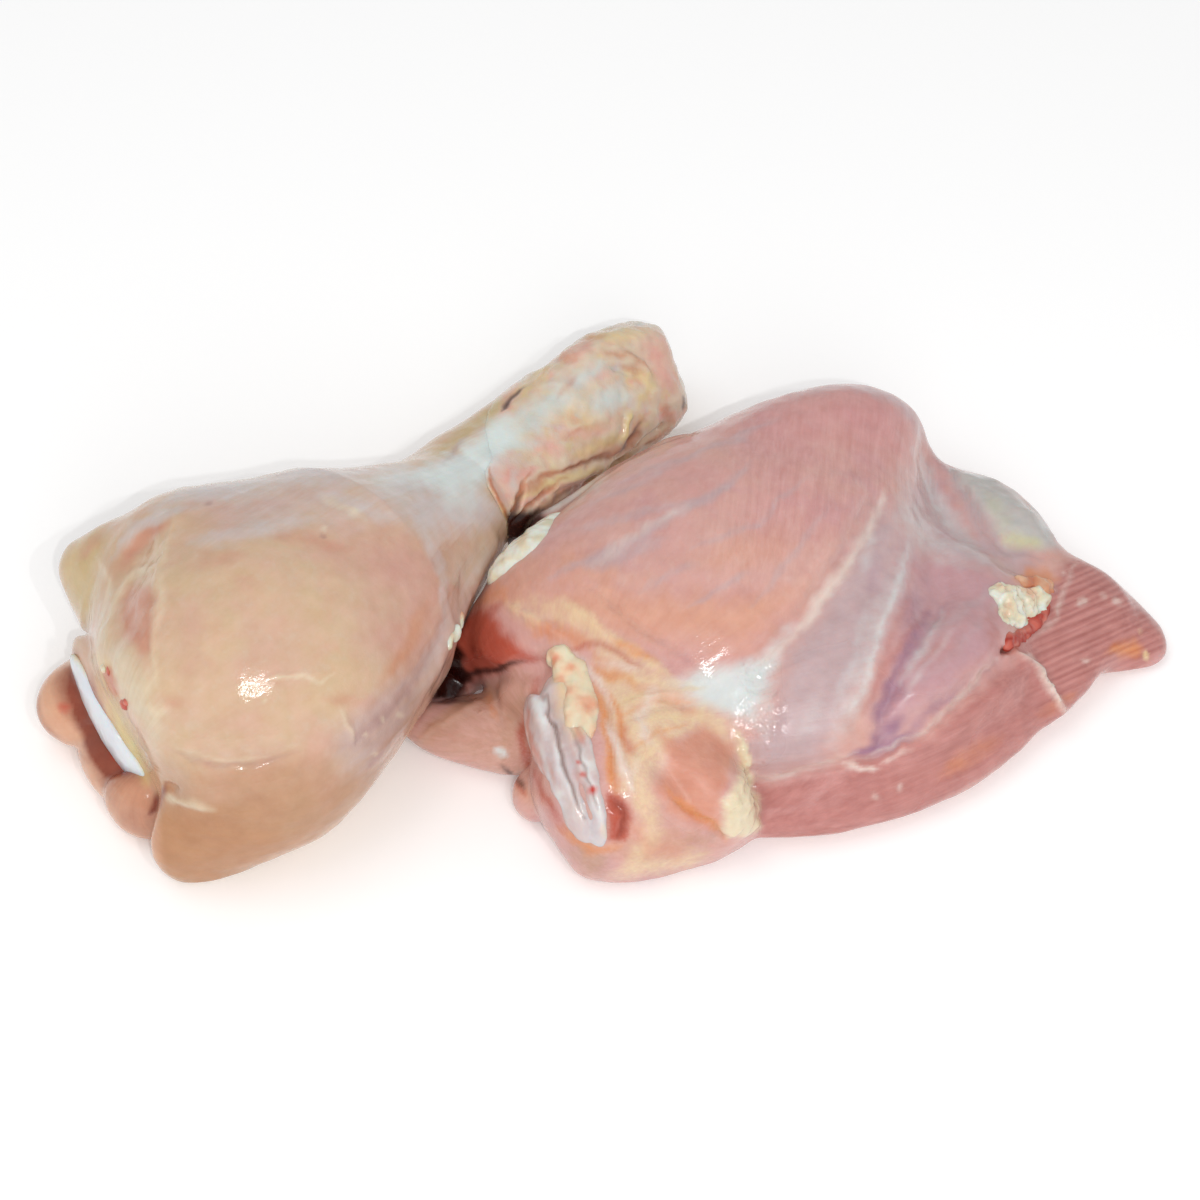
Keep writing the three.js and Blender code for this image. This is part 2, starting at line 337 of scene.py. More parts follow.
def wet_finish(name, base, deeper, tints, streaks=(), patches=(), grained=None, roughness=0.12,
               grain=0.00011, see_in=0.3, dull=None, sparkle=None, ribs=None):
    """Wet flesh: a base colour that drifts to a deeper one, blotched by patches of (colour, scale,
    level, strength), tinted by marks of (name, colour, raggedness) and streaked along fibres of
    (coordinates, where, scale, contrast), with ribs where bundles of them stand out. The edges of
    marks fray along the grained coordinates. The dull mark is where the surface is less wet, and
    the sparkle mark is where it is fine and bumpy, so that a highlight breaks into dots. The grain
    is how deep the bumps are, in metres, and see_in is how far the flesh lets light in."""
    material = bpy.data.materials.new(name)
    material.use_nodes = True
    shader = material.node_tree.nodes["Principled BSDF"]
    start = Wire(material.node_tree)
    place = start.node("ShaderNodeTexCoord", output=3)     # the piece's own coordinates, in metres

    def cloud(scale, detail=3.0, where=place, rough=0.55):
        return start.node("ShaderNodeTexNoise", None,
                          {"Vector": where, "Scale": scale, "Detail": detail, "Roughness": rough})

    def mixed(a, b, amount):
        return start.node("ShaderNodeMix", {"data_type": "RGBA"}, {0: amount, 6: a, 7: b}, 2)

    def marked(key, output=2):
        return start.node("ShaderNodeAttribute", {"attribute_name": key}, None, output)

    # The body colour drifts in clouds of a centimetre or so, under finer blotches of the patches.
    drift = ((cloud(75, 4) - 0.38) * 3.2).clamped()
    colour = mixed(base, deeper, drift)
    for number, (tint, scale, level, strength) in enumerate(patches):
        moved = start.node("ShaderNodeVectorMath", {"operation": "ADD"}, {0: place, 1: (number + 1.0, 0.3, 0.7)})
        colour = mixed(colour, tint, ((cloud(scale, 4, moved) - level) * 5).clamped() * strength)
    # Marks are frayed where they are neither full nor gone.
    ragged = cloud(420, 5, rough=0.65) - 0.5
    if grained:
        ragged = ragged * 0.6 + (cloud(900, 4, marked(grained, 1), 0.65) - 0.5)
    for key, tint, raggedness in tints:
        mark = marked(key)
        edge = mark * (1 - mark) * (4 * raggedness)
        colour = mixed(colour, tint, (mark + ragged * edge).clamped())
    # Fibres and ribs change both how light the flesh is and how high.
    relief = cloud(650, 4, rough=0.6) * 0.5
    shade = 0.5 + (cloud(300, 4) - 0.5) * 0.3
    for key, share, scale, contrast in streaks:
        fibres = cloud(scale, 3, marked(key, 1), 0.6) - 0.5
        strength = marked(share) if share else 1.0
        shade = shade + fibres * (strength * contrast)
        relief = relief + fibres * strength
    if ribs:
        key, share, scale, contrast = ribs
        rib = start.node("ShaderNodeTexWave", {"bands_direction": "Y"}, {
            "Vector": marked(key, 1), "Scale": scale, "Distortion": 5.0, "Detail": 3.0, "Detail Scale": 1.6}, 1) - 0.5
        shade = shade + rib * (marked(share) * contrast)
        relief = relief + rib * marked(share) * 0.35
    if sparkle:
        relief = relief + (cloud(800, 1) - 0.5) * (marked(sparkle) * 5)
    grey = start.node("ShaderNodeCombineColor", None, {0: shade, 1: shade, 2: shade})
    colour = start.node("ShaderNodeMix", {"data_type": "RGBA", "blend_type": "SOFT_LIGHT"},
                        {0: 1.0, 6: colour, 7: grey}, 2)
    fine = cloud(2200, 3, rough=0.6)
    bump = start.node("ShaderNodeBump", None, {"Strength": 0.8, "Distance": grain, "Height": relief + fine * 0.3})
    gloss = roughness + (cloud(260, 4) - 0.5) * 0.1
    gloss = gloss + marked(dull) * 0.3 if dull else gloss
    gloss = gloss - marked(sparkle) * 0.05 if sparkle else gloss
    for wire, socket in ((colour, "Base Color"), (bump, "Normal"), (gloss, "Roughness")):
        material.node_tree.links.new(wire.socket, shader.inputs[socket])
    for socket, value in (("Subsurface Weight", see_in), ("Subsurface Radius", (1.0, 0.42, 0.28)),
                          ("Subsurface Scale", 0.003), ("Specular IOR Level", 0.5)):
        shader.inputs[socket].default_value = value
    return material


# The knee's cut face looks left, a little to the front and down. The shin bone's end lies in it
# in a thin capsule, and its long side slopes from the back down to the front.
KNEE_MIDDLE = np.array((-81.4, -28.7, 13.9))
KNEE_CUT_BACK = 0.6
KNEE_CUT_SOFTNESS = 4
CAPSULE_HALF = (14.7, 10.7, 3.8)
CAPSULE_SUNK = 2.8
knee_out = np.array((-0.84, -0.53, -0.11))
knee_out /= np.linalg.norm(knee_out)
knee_along = np.array((0.49, -0.74, -0.47))
knee_along -= knee_out * (knee_along @ knee_out)
knee_along /= np.linalg.norm(knee_along)
knee_axes = np.array((knee_along, np.cross(knee_out, knee_along), knee_out))

knee_capsule = lump(KNEE_MIDDLE - CAPSULE_SUNK * knee_out, CAPSULE_HALF, knee_axes)
lower_leg = grown(
    lump((-56, -25.5, 23), CALF_HALF, turned(44)),
    (lump((-55.5, -37.5, 16), (15.5, 15, 17), turned(20)), 8),
    (lump((-67, -7.5, 24.5), (18, 15, 17), turned(30)), 8),
    (limb((-41, -4.5, 21.5), (-22, 17.5, 17.5), 20.5, 9), 12),
    (limb((-23, 24.5, 15), (-8.5, 37, 13), SHANK_RADIUS, SHANK_RADIUS + 1), 8),
)


def cut_at_knee(p):
    """The lower leg's muscles up to the knee's cut face, which leaves a soft edge."""
    beyond = ((p - KNEE_MIDDLE) @ knee_out).astype(np.float32) + KNEE_CUT_BACK
    return soft_max(lower_leg(p), beyond, KNEE_CUT_SOFTNESS)


drumstick = lying(traced(grown(
    cut_at_knee,
    (knee_capsule, 2),
    (lump((-63.5, -48.5, 9), (9.5, 4.5, 11), turned(20)), 6),
    (lump((-81.5, -4, 22.5), (8, 6.5, 9.5), turned(30)), 6),
    (lump((-83, -18.5, 8), (11.5, 8.5, 8), turned(20)), 2),
    (lump((-75.5, -40.5, 6.5), (6.5, 4, 6.5), turned(-30)), 2),
), (
    (((-30, 15, 28), (-24, 24, 24), (-17, 31, 22)), 3, 0.9),
    (((-69, -51, 24), (-66, -50.5, 30), (-51, -50.5, 31.5)), 3, -0.9),
    (((-18.5, 4, 21), (-27, -23, 24), (-36, -41, 22)), 2.2, 0.9),
    (((-70.5, -9.5, 41.5), (-69.5, -31, 44), (-70.5, -44, 37)), 2.5, 0.6),
    (((-75, -14, 40), (-76.5, -24, 39), (-76, -31, 38.5)), 4, -1.2),
)))
# Over the plain form: flesh that joins the two lobes, the shank's tendon and the knee's corner.
whole_drumstick = lying(grown(
    drumstick,
    (lump((-81, -31, 5.5), (4.5, 9, 5.5), turned(30)), 1.5),
    (limb((-30, 17.9, 20), (-11.5, 41, 15), 6.4, 6.4), 3),
    (limb((-82, -5, 23), (-86.4, -3.1, 24), 8.5, 3.4), 4),
))

# Marks are drawn by pixel: pale membrane, fat showing through it, raw flesh, blood, painted sheen and shade.
skin = Skin(whole_drumstick, (-97, -57, -2), (-2, 45, 52), FLESH_STEP)
beyond_cut = np.clip(((skin.points - KNEE_MIDDLE) @ knee_out + 1.5) / 1.5, 0, 1)
beyond_cut *= np.clip((-70 - skin.points[:, 0]) / 2.5, 0, 1)
plate_line = (KNEE_MIDDLE - 14 * knee_along, KNEE_MIDDLE + 15 * knee_along)
from_plate = np.sqrt(to_path(skin.points, plate_line)[0])
marks = skin.marks({
    "straw": ([(0.6, 11, 84,602, 96,622), (0.9, 10, 420,463, 455,441, 500,408)],
        [(0.8, 14, 60,560, 99,528, 114,540, 100,570, 98,600, 88,625, 66,598)]),
    "pink": ([(0.8, 70, 390,540, 425,600, 400,680), (0.3, 40, 170,520, 330,505, 430,540),
        (0.6, 40, 310,540, 420,565), (0.35, 50, 240,790, 350,780), (0.4, 26, 190,600, 190,690),
        (0.5, 30, 330,750, 400,700, 440,640)], []),
    "amber": ([(0.4, 12, 380,685, 408,650, 425,605), (0.7, 9, 503,548, 482,575, 466,618, 448,655, 425,695),
        (0.8, 9, 165,784, 180,790), (0.9, 12, 131,600, 134,640), (0.7, 10, 56,700, 70,704)],
        [(0.85, 20, 145,800, 225,812, 310,842, 260,880, 200,886, 150,872)]),
    # The tawny mark is painted shade: the belly's underside, the dip beside the flap and a patch by the knee.
    "tawny_painted_shade": ([(0.9, 12, 424,690, 400,730, 382,752), (0.35, 30, 105,575, 135,560)],
        [(0.75, 46, 90,780, 240,772, 330,765, 395,735, 430,690, 455,715, 405,800, 330,870, 250,930, 170,940,
           60,900)]),
    "rose": ([(0.95, 15, 168,518, 143,538, 122,570), (0.45, 14, 280,489, 340,494), (0.4, 12, 190,563, 245,552),
        (0.45, 14, 270,532, 350,545), (0.4, 14, 150,700, 186,704), (0.5, 14, 325,698, 385,706),
        (0.5, 9, 105,532, 80,556), (0.5, 10, 480,590, 455,650, 415,715)],
        [(0.95, 7, 125,592, 140,584, 154,590, 157,620, 154,650, 143,655, 128,645, 120,620)]),
    # The lilac mark is partly the membrane's own colour, over the right side, and partly a painted sheen along the top
    # edge, with a painted glint line down by the knee.
    "lilac_membrane_and_sheen": ([(0.9, 20, 150,510, 193,490, 234,484, 265,475, 301,471, 345,469, 400,464),
        (0.9, 34, 370,490, 440,478, 500,460), (0.85, 40, 400,515, 450,510, 500,510),
        (0.4, 50, 200,500, 300,492, 400,500), (0.7, 9, 200,506, 163,514, 137,528, 114,560),
        (0.5, 14, 320,492, 359,505, 400,525), (0.55, 16, 190,545, 250,528, 320,516),
        (0.5, 9, 400,500, 440,560, 446,620, 425,670, 400,690)],
        [(0.5, 22, 470,560, 500,545, 488,600, 462,640, 440,680, 410,725, 375,765, 345,770, 340,735, 380,700,
           420,670, 445,630, 455,590)]),
    # Along the low crease, the faint plum line is painted shade under the crease.
    "plum": ([(0.5, 6, 209,502), (0.7, 5, 322,534), (0.6, 5, 436,470, 452,450, 470,437),
        (0.4, 9, 430,655, 410,690, 385,715, 350,745), (0.25, 6, 165,750, 214,762, 262,764, 300,750),
        (0.5, 6, 385,748, 365,770)],
        [(0.4, 30, 345,745, 385,705, 410,690, 422,705, 395,750, 368,775)]),
    "white": ([(0.95, 24, 415,480, 465,462, 480,450, 520,415), (0.8, 20, 430,486, 515,462),
        (0.6, 16, 370,480, 440,472), (0.9, 16, 480,470, 520,430), (0.5, 26, 440,500, 480,495)], []),
    # The faint cream line along the low crease, from 180,748 to 270,755, is a painted highlight; the rest of the cream
    # is fat.
    "cream": ([(0.5, 6, 170,560, 148,568, 127,581, 114,599, 108,625, 100,655),
        (0.4, 7, 173,515, 167,548, 160,573, 163,599, 158,624, 155,655, 153,675, 163,710),
        (0.6, 6, 97,556, 107,586, 104,611, 97,650), (0.5, 10, 130,708, 165,712),
        (0.6, 4.5, 262,682, 284,678, 306,675, 321,682, 334,670), (0.6, 4, 264,702),
        (0.4, 4.5, 338,706, 348,728, 352,740), (0.35, 5, 180,748, 214,756, 241,760, 270,755),
        (0.6, 8, 160,796, 214,808), (0.5, 5, 352,509), (0.5, 5, 324,527), (0.5, 4, 385,718), (0.45, 4, 366,735),
        (0.45, 4, 375,752), (0.4, 4, 400,712), (0.45, 7, 322,494, 366,520)],
        [(0.6, 11, 100,640, 118,646, 150,680, 165,710, 160,740, 148,772, 128,735, 112,695)]),
    # The umber mark is dark red brown flesh at the knee, with painted shadow where it lies beside the plate.
    "umber_and_painted_shadow": ([(0.8, 7, 166,784, 150,815), (0.4, 8, 42,688, 38,712, 58,742, 88,764)],
        [(0.95, 10, 78,668, 92,680, 104,712, 118,745, 124,772, 104,768, 88,745, 78,715, 72,690)]),
    "band": ([(1, 14, 97,655, 110,690, 124,722, 137,752, 146,782)], []),
    "blood": ([(0.7, 9, 104,668, 112,680, 119,697), (1, 9, 116,752), (0.9, 9, 126,764), (0.5, 8, 64,706)], []),
})
marks["tag"] = beyond_cut
# The cut flesh round the bone's end is umber too: dark flesh, with painted shadow close beside the plate.
marks["umber_and_painted_shadow"] = np.clip(beyond_cut * np.clip(1.8 - from_plate / 4, 0, 1) + marks["umber_and_painted_shadow"], 0, 0.95)
creases = skin.relief(
    (0.25, 6, 163,563, 135,572, 114,599, 104,645), (-0.3, 12, 150,540, 128,560),
    (0.3, 7, 173,522, 160,573, 158,624, 153,675), (-0.25, 14, 132,600, 138,640),
    (-0.22, 9, 178,750, 200,757, 241,764, 275,757, 300,748), (0.2, 5, 268,680, 300,675, 329,672),
    (0.35, 6, 173,798, 206,806), (-0.6, 7, 166,784, 180,790),
    (0.25, 9, 503,545, 480,592, 462,625, 440,660, 420,700, 398,748),
    (-0.25, 10, 470,560, 450,610, 430,660, 400,700), (0.25, 6, 345,715, 352,745))
skin.push(creases + 0.14 * skin.lumps(7) + 0.1 * skin.lumps(2.6, 9))
marks["sparkle"] = skin.painted([(0.2, 34, 247,697), (1, 12, 66,711)])

# Fibres run from the knee to the shank. Their coordinates, in metres, change fast round the leg's
# axis and slowly along it.
FIBRES_ROUND = 16
FIBRES_ALONG = 0.05
leg_start, leg_end = np.array((-66.0, -30, 18)), np.array((-8.0, 38, 14))
leg_axis = (leg_end - leg_start) / np.linalg.norm(leg_end - leg_start)
away = skin.points - leg_start
along = away @ leg_axis
across = away - along[:, None] * leg_axis
across /= np.linalg.norm(across, axis=1, keepdims=True)
marks["fibre"] = (across * FIBRES_ROUND + (along * FIBRES_ALONG)[:, None] * leg_axis) / 1000

drumstick_finish = wet_finish(
    "drumstick_finish", rgb(208, 178, 146), rgb(204, 167, 146),
    tints=(("straw", rgb(198, 172, 124), 0.6), ("pink", rgb(201, 154, 140), 0.6), ("amber", rgb(198, 136, 96), 0.6),
           ("tawny_painted_shade", rgb(172, 124, 84), 0.4), ("rose", rgb(198, 142, 118), 0.6), ("lilac_membrane_and_sheen", rgb(204, 194, 192), 0.8),
           ("plum", rgb(160, 122, 118), 0.8), ("white", rgb(218, 227, 224), 0.6),
           ("cream", rgb(217, 202, 175), 0.8), ("tag", rgb(212, 162, 132), 0.4), ("umber_and_painted_shadow", rgb(132, 58, 38), 0.5),
           ("band", rgb(216, 190, 122), 0.6), ("blood", rgb(186, 40, 16), 0.3)),
    streaks=(("fibre", "", 900, 0.12),),
    patches=((rgb(200, 178, 142), 160, 0.5, 0.4), (rgb(210, 160, 146), 140, 0.52, 0.4),
             (rgb(206, 190, 172), 480, 0.54, 0.3)),
    grained="fibre", sparkle="sparkle")
drumstick_surface = skin
flesh = skin.piece("drumstick_flesh", drumstick_finish, marks)
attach(flesh, "root")
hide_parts("drumstick_meat")

# ------------------------------------------------------------------------------ knee cartilage
# The shin bone's end at the knee: a hard bluish white plate of cartilage, in two rounded halves
# with a shallow dip between them. It sits in a yellow rim of capsule, where it was cut free.

PLATE_STEP = 0.35
PLATE_REACH = 16
PLATE_HALF = (8.5, 5.2, 1.6)
UPPER_HALF_AT = 5.6                       # how far each half lies from the plate's middle
LOWER_HALF_AT = 6.4
plate_middle = KNEE_MIDDLE + (1.2, -1.0, -0.9) - 0.1 * knee_out + 1.6 * knee_axes[1]
knee_plate = grown(lump(plate_middle - UPPER_HALF_AT * knee_along, PLATE_HALF, knee_axes),
                   (lump(plate_middle + LOWER_HALF_AT * knee_along, PLATE_HALF, knee_axes), 5))
skin = Skin(knee_plate, KNEE_MIDDLE - PLATE_REACH, KNEE_MIDDLE + PLATE_REACH, PLATE_STEP)
skin.push(0.12 * skin.lumps(3) + 0.05 * skin.lumps(1.2, 4))
rim = np.clip(1 - ((skin.points - KNEE_MIDDLE) @ knee_out + 1.2) / 1.4, 0, 1)
plate_blood = skin.painted([(0.9, 7, 104,670, 117,697), (1, 8, 121,708)])
cartilage_finish = wet_finish(
    "cartilage_finish", rgb(224, 228, 232), rgb(214, 216, 222),
    tints=(("rim", rgb(226, 200, 140), 0.8), ("blood", rgb(196, 70, 40), 0.6)),
    roughness=0.2, grain=0.0001, see_in=0.4)
plate = skin.piece("knee_cartilage", cartilage_finish, {"rim": rim, "blood": plate_blood})
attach(plate, "root")
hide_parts("drumstick_knee_cartilage")

# ------------------------------------------------------------------------------ ankle sleeve
# Skin and sinew left round the ankle: creamy, blotched with pink and orange, and bluish where it
# is stretched over the bone. It is grown to the bone at the cut end, and its lower edge lies
# loose on the shank, rolled and folded on itself.

ANKLE_HALF = (20.5, 8.5, 14)
SLEEVE_THICK = 0.35
SLEEVE_STEP = 0.36
ROLL_HIGH = 0.85                          # the rolled lip of the loose edge, in millimetres
ROLL_INWARD = 0.8
ROLL_WIDTH = 0.9
ROLL_ROW = 495                            # the pixel row of the roll's middle, and how far it runs
ROLL_ROWS = 42
END_PIXEL = (665, 329)                    # where the ankle was cut off, and which way that faces
END_WAY = (0.956, -0.292)
ankle_lumps = traced(grown(
    lump((-1.5, 45.5, 12.5), ANKLE_HALF, turned(49)),
    (lump((6.5, 45.5, 12), (11.5, 6.5, 8), turned(38)), 5),
    (limb((-14.5, 27, 14.5), (-3, 41, 14), 9.3, 10), 5),
    (lump((-16, 18, 17), (6.5, 6, 6), turned(60)), 4),
    (lump((-11, 22, 14), (8, 4.5, 6), turned(48)), 3),
    (limb((0, 49, 18.2), (8.8, 53, 18.6), 5, 3.2), 4),
), (
    (((9.5, 42, 12), (0, 32.5, 11.5), (-12, 20, 13)), 1.8, -1.8),
    (((8, 40, 15), (-7, 28.5, 15.5), (-13, 22, 16)), 2.5, 0.7),
))
# The sleeve's loose edge, as the pixel column it lies at for each row.
edge_rows, edge_columns = zip(
    (375, 508), (389, 500), (411, 488), (430, 484), (446, 488), (458, 490), (472, 484), (486, 487), (502, 496),
    (521, 506), (545, 508))


def ankle_sleeve(p):
    """The ankle's lumps, grown softly out of a thin layer over the shank, up to the loose edge."""
    pixels = in_photo(p)
    inward = (pixels[:, 0] - np.interp(pixels[:, 1], edge_rows, edge_columns)) * PIXEL
    rolled = np.exp(-((inward - ROLL_INWARD) / ROLL_WIDTH) ** 2)
    rolled *= np.clip(1 - np.abs(pixels[:, 1] - ROLL_ROW) / ROLL_ROWS, 0, 1)
    thick = SLEEVE_THICK * np.clip(inward / 6 - 0.3, -0.3, 1)
    layer = whole_drumstick(p) - thick - ROLL_HIGH * rolled
    cut_end = (pixels - END_PIXEL) @ END_WAY * PIXEL
    kept = soft_max(soft_min(ankle_lumps(p), layer, 4), np.maximum(-inward, -3), 0.25)
    return soft_max(soft_max(kept, cut_end, 0.9), -p[:, 2], LIE_SOFTNESS).astype(np.float32)


skin = Skin(ankle_sleeve, (-28, 6, -2), (22, 64, 34), SLEEVE_STEP)
wrinkle = skin.lumps(3.2, 5) + 0.6 * skin.lumps(1.5, 8)
marks = skin.marks({
    "blush": ([(0.6, 5, 500,418, 511,405, 528,386), (0.7, 9, 540,470, 500,480), (0.5, 7, 575,455, 620,446),
        (0.6, 12, 650,345, 672,392), (0.5, 11, 560,436, 612,428), (0.6, 9, 596,342, 564,362),
        (0.5, 11, 612,370, 560,378), (0.6, 16, 530,440, 565,450), (0.5, 12, 610,478, 550,492),
        (0.7, 11, 515,508, 552,488), (0.6, 9, 505,404, 522,384), (0.5, 9, 550,412, 585,420),
        (0.5, 8, 655,420, 690,412)],
        [(0.5, 14, 636,335, 668,330, 680,372, 684,398, 660,394, 645,362),
         (0.55, 9, 489,466, 512,458, 528,474, 520,500, 504,512, 490,488)]),
    "cream": ([(0.7, 9, 515,502, 560,478, 600,472, 640,452), (0.7, 9, 630,368, 648,386, 640,408),
        (0.5, 12, 550,368, 515,398), (0.5, 11, 590,340, 645,332), (0.6, 11, 565,457, 628,438),
        (0.4, 14, 550,408, 600,427), (0.9, 5, 500,500, 508,522, 509,545), (0.9, 7, 626,444, 632,412)], []),
    "straw": ([(0.9, 12, 470,432, 500,408, 530,384)], []),
    "white": ([(0.95, 24, 415,480, 465,462, 480,450, 520,415), (0.8, 20, 430,486, 515,462),
        (0.9, 16, 480,470, 520,430)], []),
    "blue": ([(0.8, 22, 520,430, 545,408, 578,394), (0.5, 14, 545,388, 590,372), (0.7, 14, 570,380, 606,362),
        (0.6, 12, 505,450, 540,440), (0.4, 8, 520,470, 513,490), (0.6, 12, 632,462, 655,452)],
        [(0.9, 11, 598,390, 622,384, 630,402, 612,414, 596,408)]),
    "rust": ([(0.6, 8, 525,492, 550,476), (0.5, 6, 600,352, 628,352, 648,372), (0.35, 7, 575,372, 560,398),
        (0.35, 6, 560,440, 590,424), (0.7, 6, 646,416, 638,434, 632,446, 616,453, 588,461, 560,470, 530,485),
        (0.8, 4.5, 507,526, 520,500, 530,474), (0.8, 5, 509,528, 534,505, 562,478),
        (0.9, 4, 488,470, 491,486, 502,505, 509,522), (0.4, 8, 664,405, 672,426),
        (0.5, 5, 618,360, 632,366, 640,374), (0.35, 6, 580,344, 606,336), (0.35, 7, 560,362, 578,354),
        (0.5, 6, 645,444, 680,426), (0.5, 6, 535,514, 576,484, 600,474)], []),
    # The dark mark is painted shade, drawn near black: the slit, the creases of the folds and the gap under the sleeve.
    "painted_shade": ([(0.6, 3.5, 642,426, 634,441, 622,452), (0.8, 3, 503,414, 512,402, 525,387),
        (0.35, 3, 610,457, 560,469), (0.6, 3.5, 686,396, 682,410), (0.5, 4, 535,514, 580,484),
        (0.6, 3.5, 510,524, 526,490)],
        [(1, 5, 505,512, 528,514, 545,508, 530,528, 512,548, 504,545)]),
})
marks["ridge"] = np.clip(0.5 + wrinkle * 0.8, 0, 1)
folds = skin.relief(
    (-0.2, 5, 505,411, 523,389), (-0.5, 4, 646,422, 632,446, 616,455, 588,461, 566,468, 540,480),
    (-0.9, 5, 509,522, 520,500, 527,480), (-0.9, 5, 512,524, 534,505, 556,483), (0.7, 8, 545,492, 580,476, 625,462),
    (0.5, 6, 620,350, 640,362, 648,386), (-0.4, 6, 612,362, 630,372), (0.4, 7, 560,360, 590,345),
    (0.7, 6, 626,444, 632,412))
skin.push(folds + (0.3 * wrinkle + 0.35 * skin.lumps(6)) * np.clip((skin.pixels[:, 0] - 505) / 40, 0, 1))
sleeve_finish = wet_finish(
    "sleeve_finish", rgb(212, 190, 166), rgb(210, 178, 152),
    tints=(("ridge", rgb(216, 200, 176), 0.4), ("straw", rgb(198, 172, 124), 0.6), ("white", rgb(218, 227, 224), 0.6),
           ("blush", rgb(220, 164, 152), 0.8), ("cream", rgb(218, 196, 140), 1.0), ("blue", rgb(200, 208, 204), 0.9),
           ("rust", rgb(190, 116, 78), 0.9), ("painted_shade", rgb(46, 16, 8), 0.3)),
    patches=((rgb(226, 158, 140), 300, 0.5, 0.8), (rgb(192, 198, 192), 270, 0.52, 0.8),
             (rgb(212, 190, 124), 340, 0.54, 0.7), (rgb(204, 180, 188), 430, 0.54, 0.6)), grain=0.00026)
sleeve = skin.piece("ankle_sleeve", sleeve_finish, marks)
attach(sleeve, "root")
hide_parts("drumstick_ankle_sleeve")

# ------------------------------------------------------------------------------ thigh flesh
# The upper leg's muscles round the thigh bone: a high dome, a lilac membrane over the inner
# muscle, a band along the front edge that ends in a thin striped tip, and a fan of fat over the
# knee. It was cut free at the hip and from the drumstick at the knee.

DOME_HALF = (38.5, 29.5, 21.5)
HIP_HALF = (19, 17.5, 10)
STRIP_HALF = (29, 11.5, 7.5)
TOUCH_GAP = 0.15
THIGH_STEP = 0.55
lying_thigh = lying(traced(grown(
    lump((20, -1, 15), DOME_HALF, turned(36.5, 3.5)),
    (lump((38.5, 26.5, 15.5), (20, 13, 16.5), turned(24, 2.5)), 10),
    (lump((-3.5, -9.5, 13.5), (19, 18, 14.5), turned(70)), 8),
    (lump((42, -20, 11), (30, 18, 15), turned(20)), 6),
    (lump((61, 15, 7), HIP_HALF, turned(-37, -2.5)), 8),
    (lump((82.5, 3.5, 3.5), (16, 8.5, 5), turned(-24.5, -7)), 6),
    (lump((71.5, -7, 5.5), (22.5, 13, 6), turned(50.5, 2.5)), 6),
    (lump((4.5, -35.5, 11), (18.5, 15.5, 14), turned(70.5)), 8),
    (lump((44.5, -30, 5), STRIP_HALF, turned(21.5, -1)), 3),
    (lump((9.5, -47.5, 5.5), (14, 4, 8), turned(14)), 5),
    (lump((15.5, -43, 11), (9.5, 7, 9.5), turned(-20)), 4),
    (lump((-17, -24, 5.5), (17.5, 7, 6), turned(-11.5, -3)), 2),
    (lump((-10.5, -36.5, 4.5), (4, 4.5, 4.5)), 2),
    (lump((70.5, 18.5, 11), (8, 3.6, 4), turned(-52)), 1.5),
    (lump((70.5, 1, 12), (3.6, 2.6, 2.6), turned(20)), 1),
    (lump((74.5, 1.5, 11.5), (3.6, 2.8, 2.6), turned(-20)), 1),
), (
    (((47, 5, 30), (38.5, -13.5, 29.5), (26, -28, 25)), 3, -1.4),
    (((43, 6, 33), (33, -14, 32), (20, -27, 28)), 4, 0.5),
    (((60, 2, 17), (55, -12, 21.5), (44, -34.5, 20)), 3.5, -2.2),
    (((24, -40.5, 11), (39, -38.5, 15), (54, -31, 18.5), (68, -17, 16.5)), 2.5, -1.8),
    (((57, 28, 19), (63, 10, 16), (68, 3, 13.5)), 4, -1.6),
    (((-9.5, -23, 21), (-16.5, -19, 15), (-28, -18, 8)), 3, -2.5),
    (((68, -16.5, 15.5), (72, -15, 12), (77.5, -19.5, 6)), 1.2, 0.9),
    (((9.5, -44.5, 21.5), (14.5, -47, 16.5), (18.5, -49, 10)), 2, -1.2),
)))
# Over the plain form: flesh behind the flap and by the knee, and under the hip's fat.
filled_thigh = grown(
    lying_thigh,
    (lying(grown(lump((-21.5, -6.5, 8), (6.5, 9, 8.5), turned(60)), (lump((-27, -11, 2.5), (6, 5, 3.5)), 1))), 3),
    (limb((-8, 13, 13.5), (13, 24.5, 18.5), 5, 5), 4),
    (lump((60, -0.5, 11.5), (11, 10, 8.2), turned(-37)), 7),
)


def thigh(p):
    """The thigh's muscles, kept clear of the drumstick that they lie against."""
    return soft_max(filled_thigh(p), TOUCH_GAP - drumstick(p), 1)


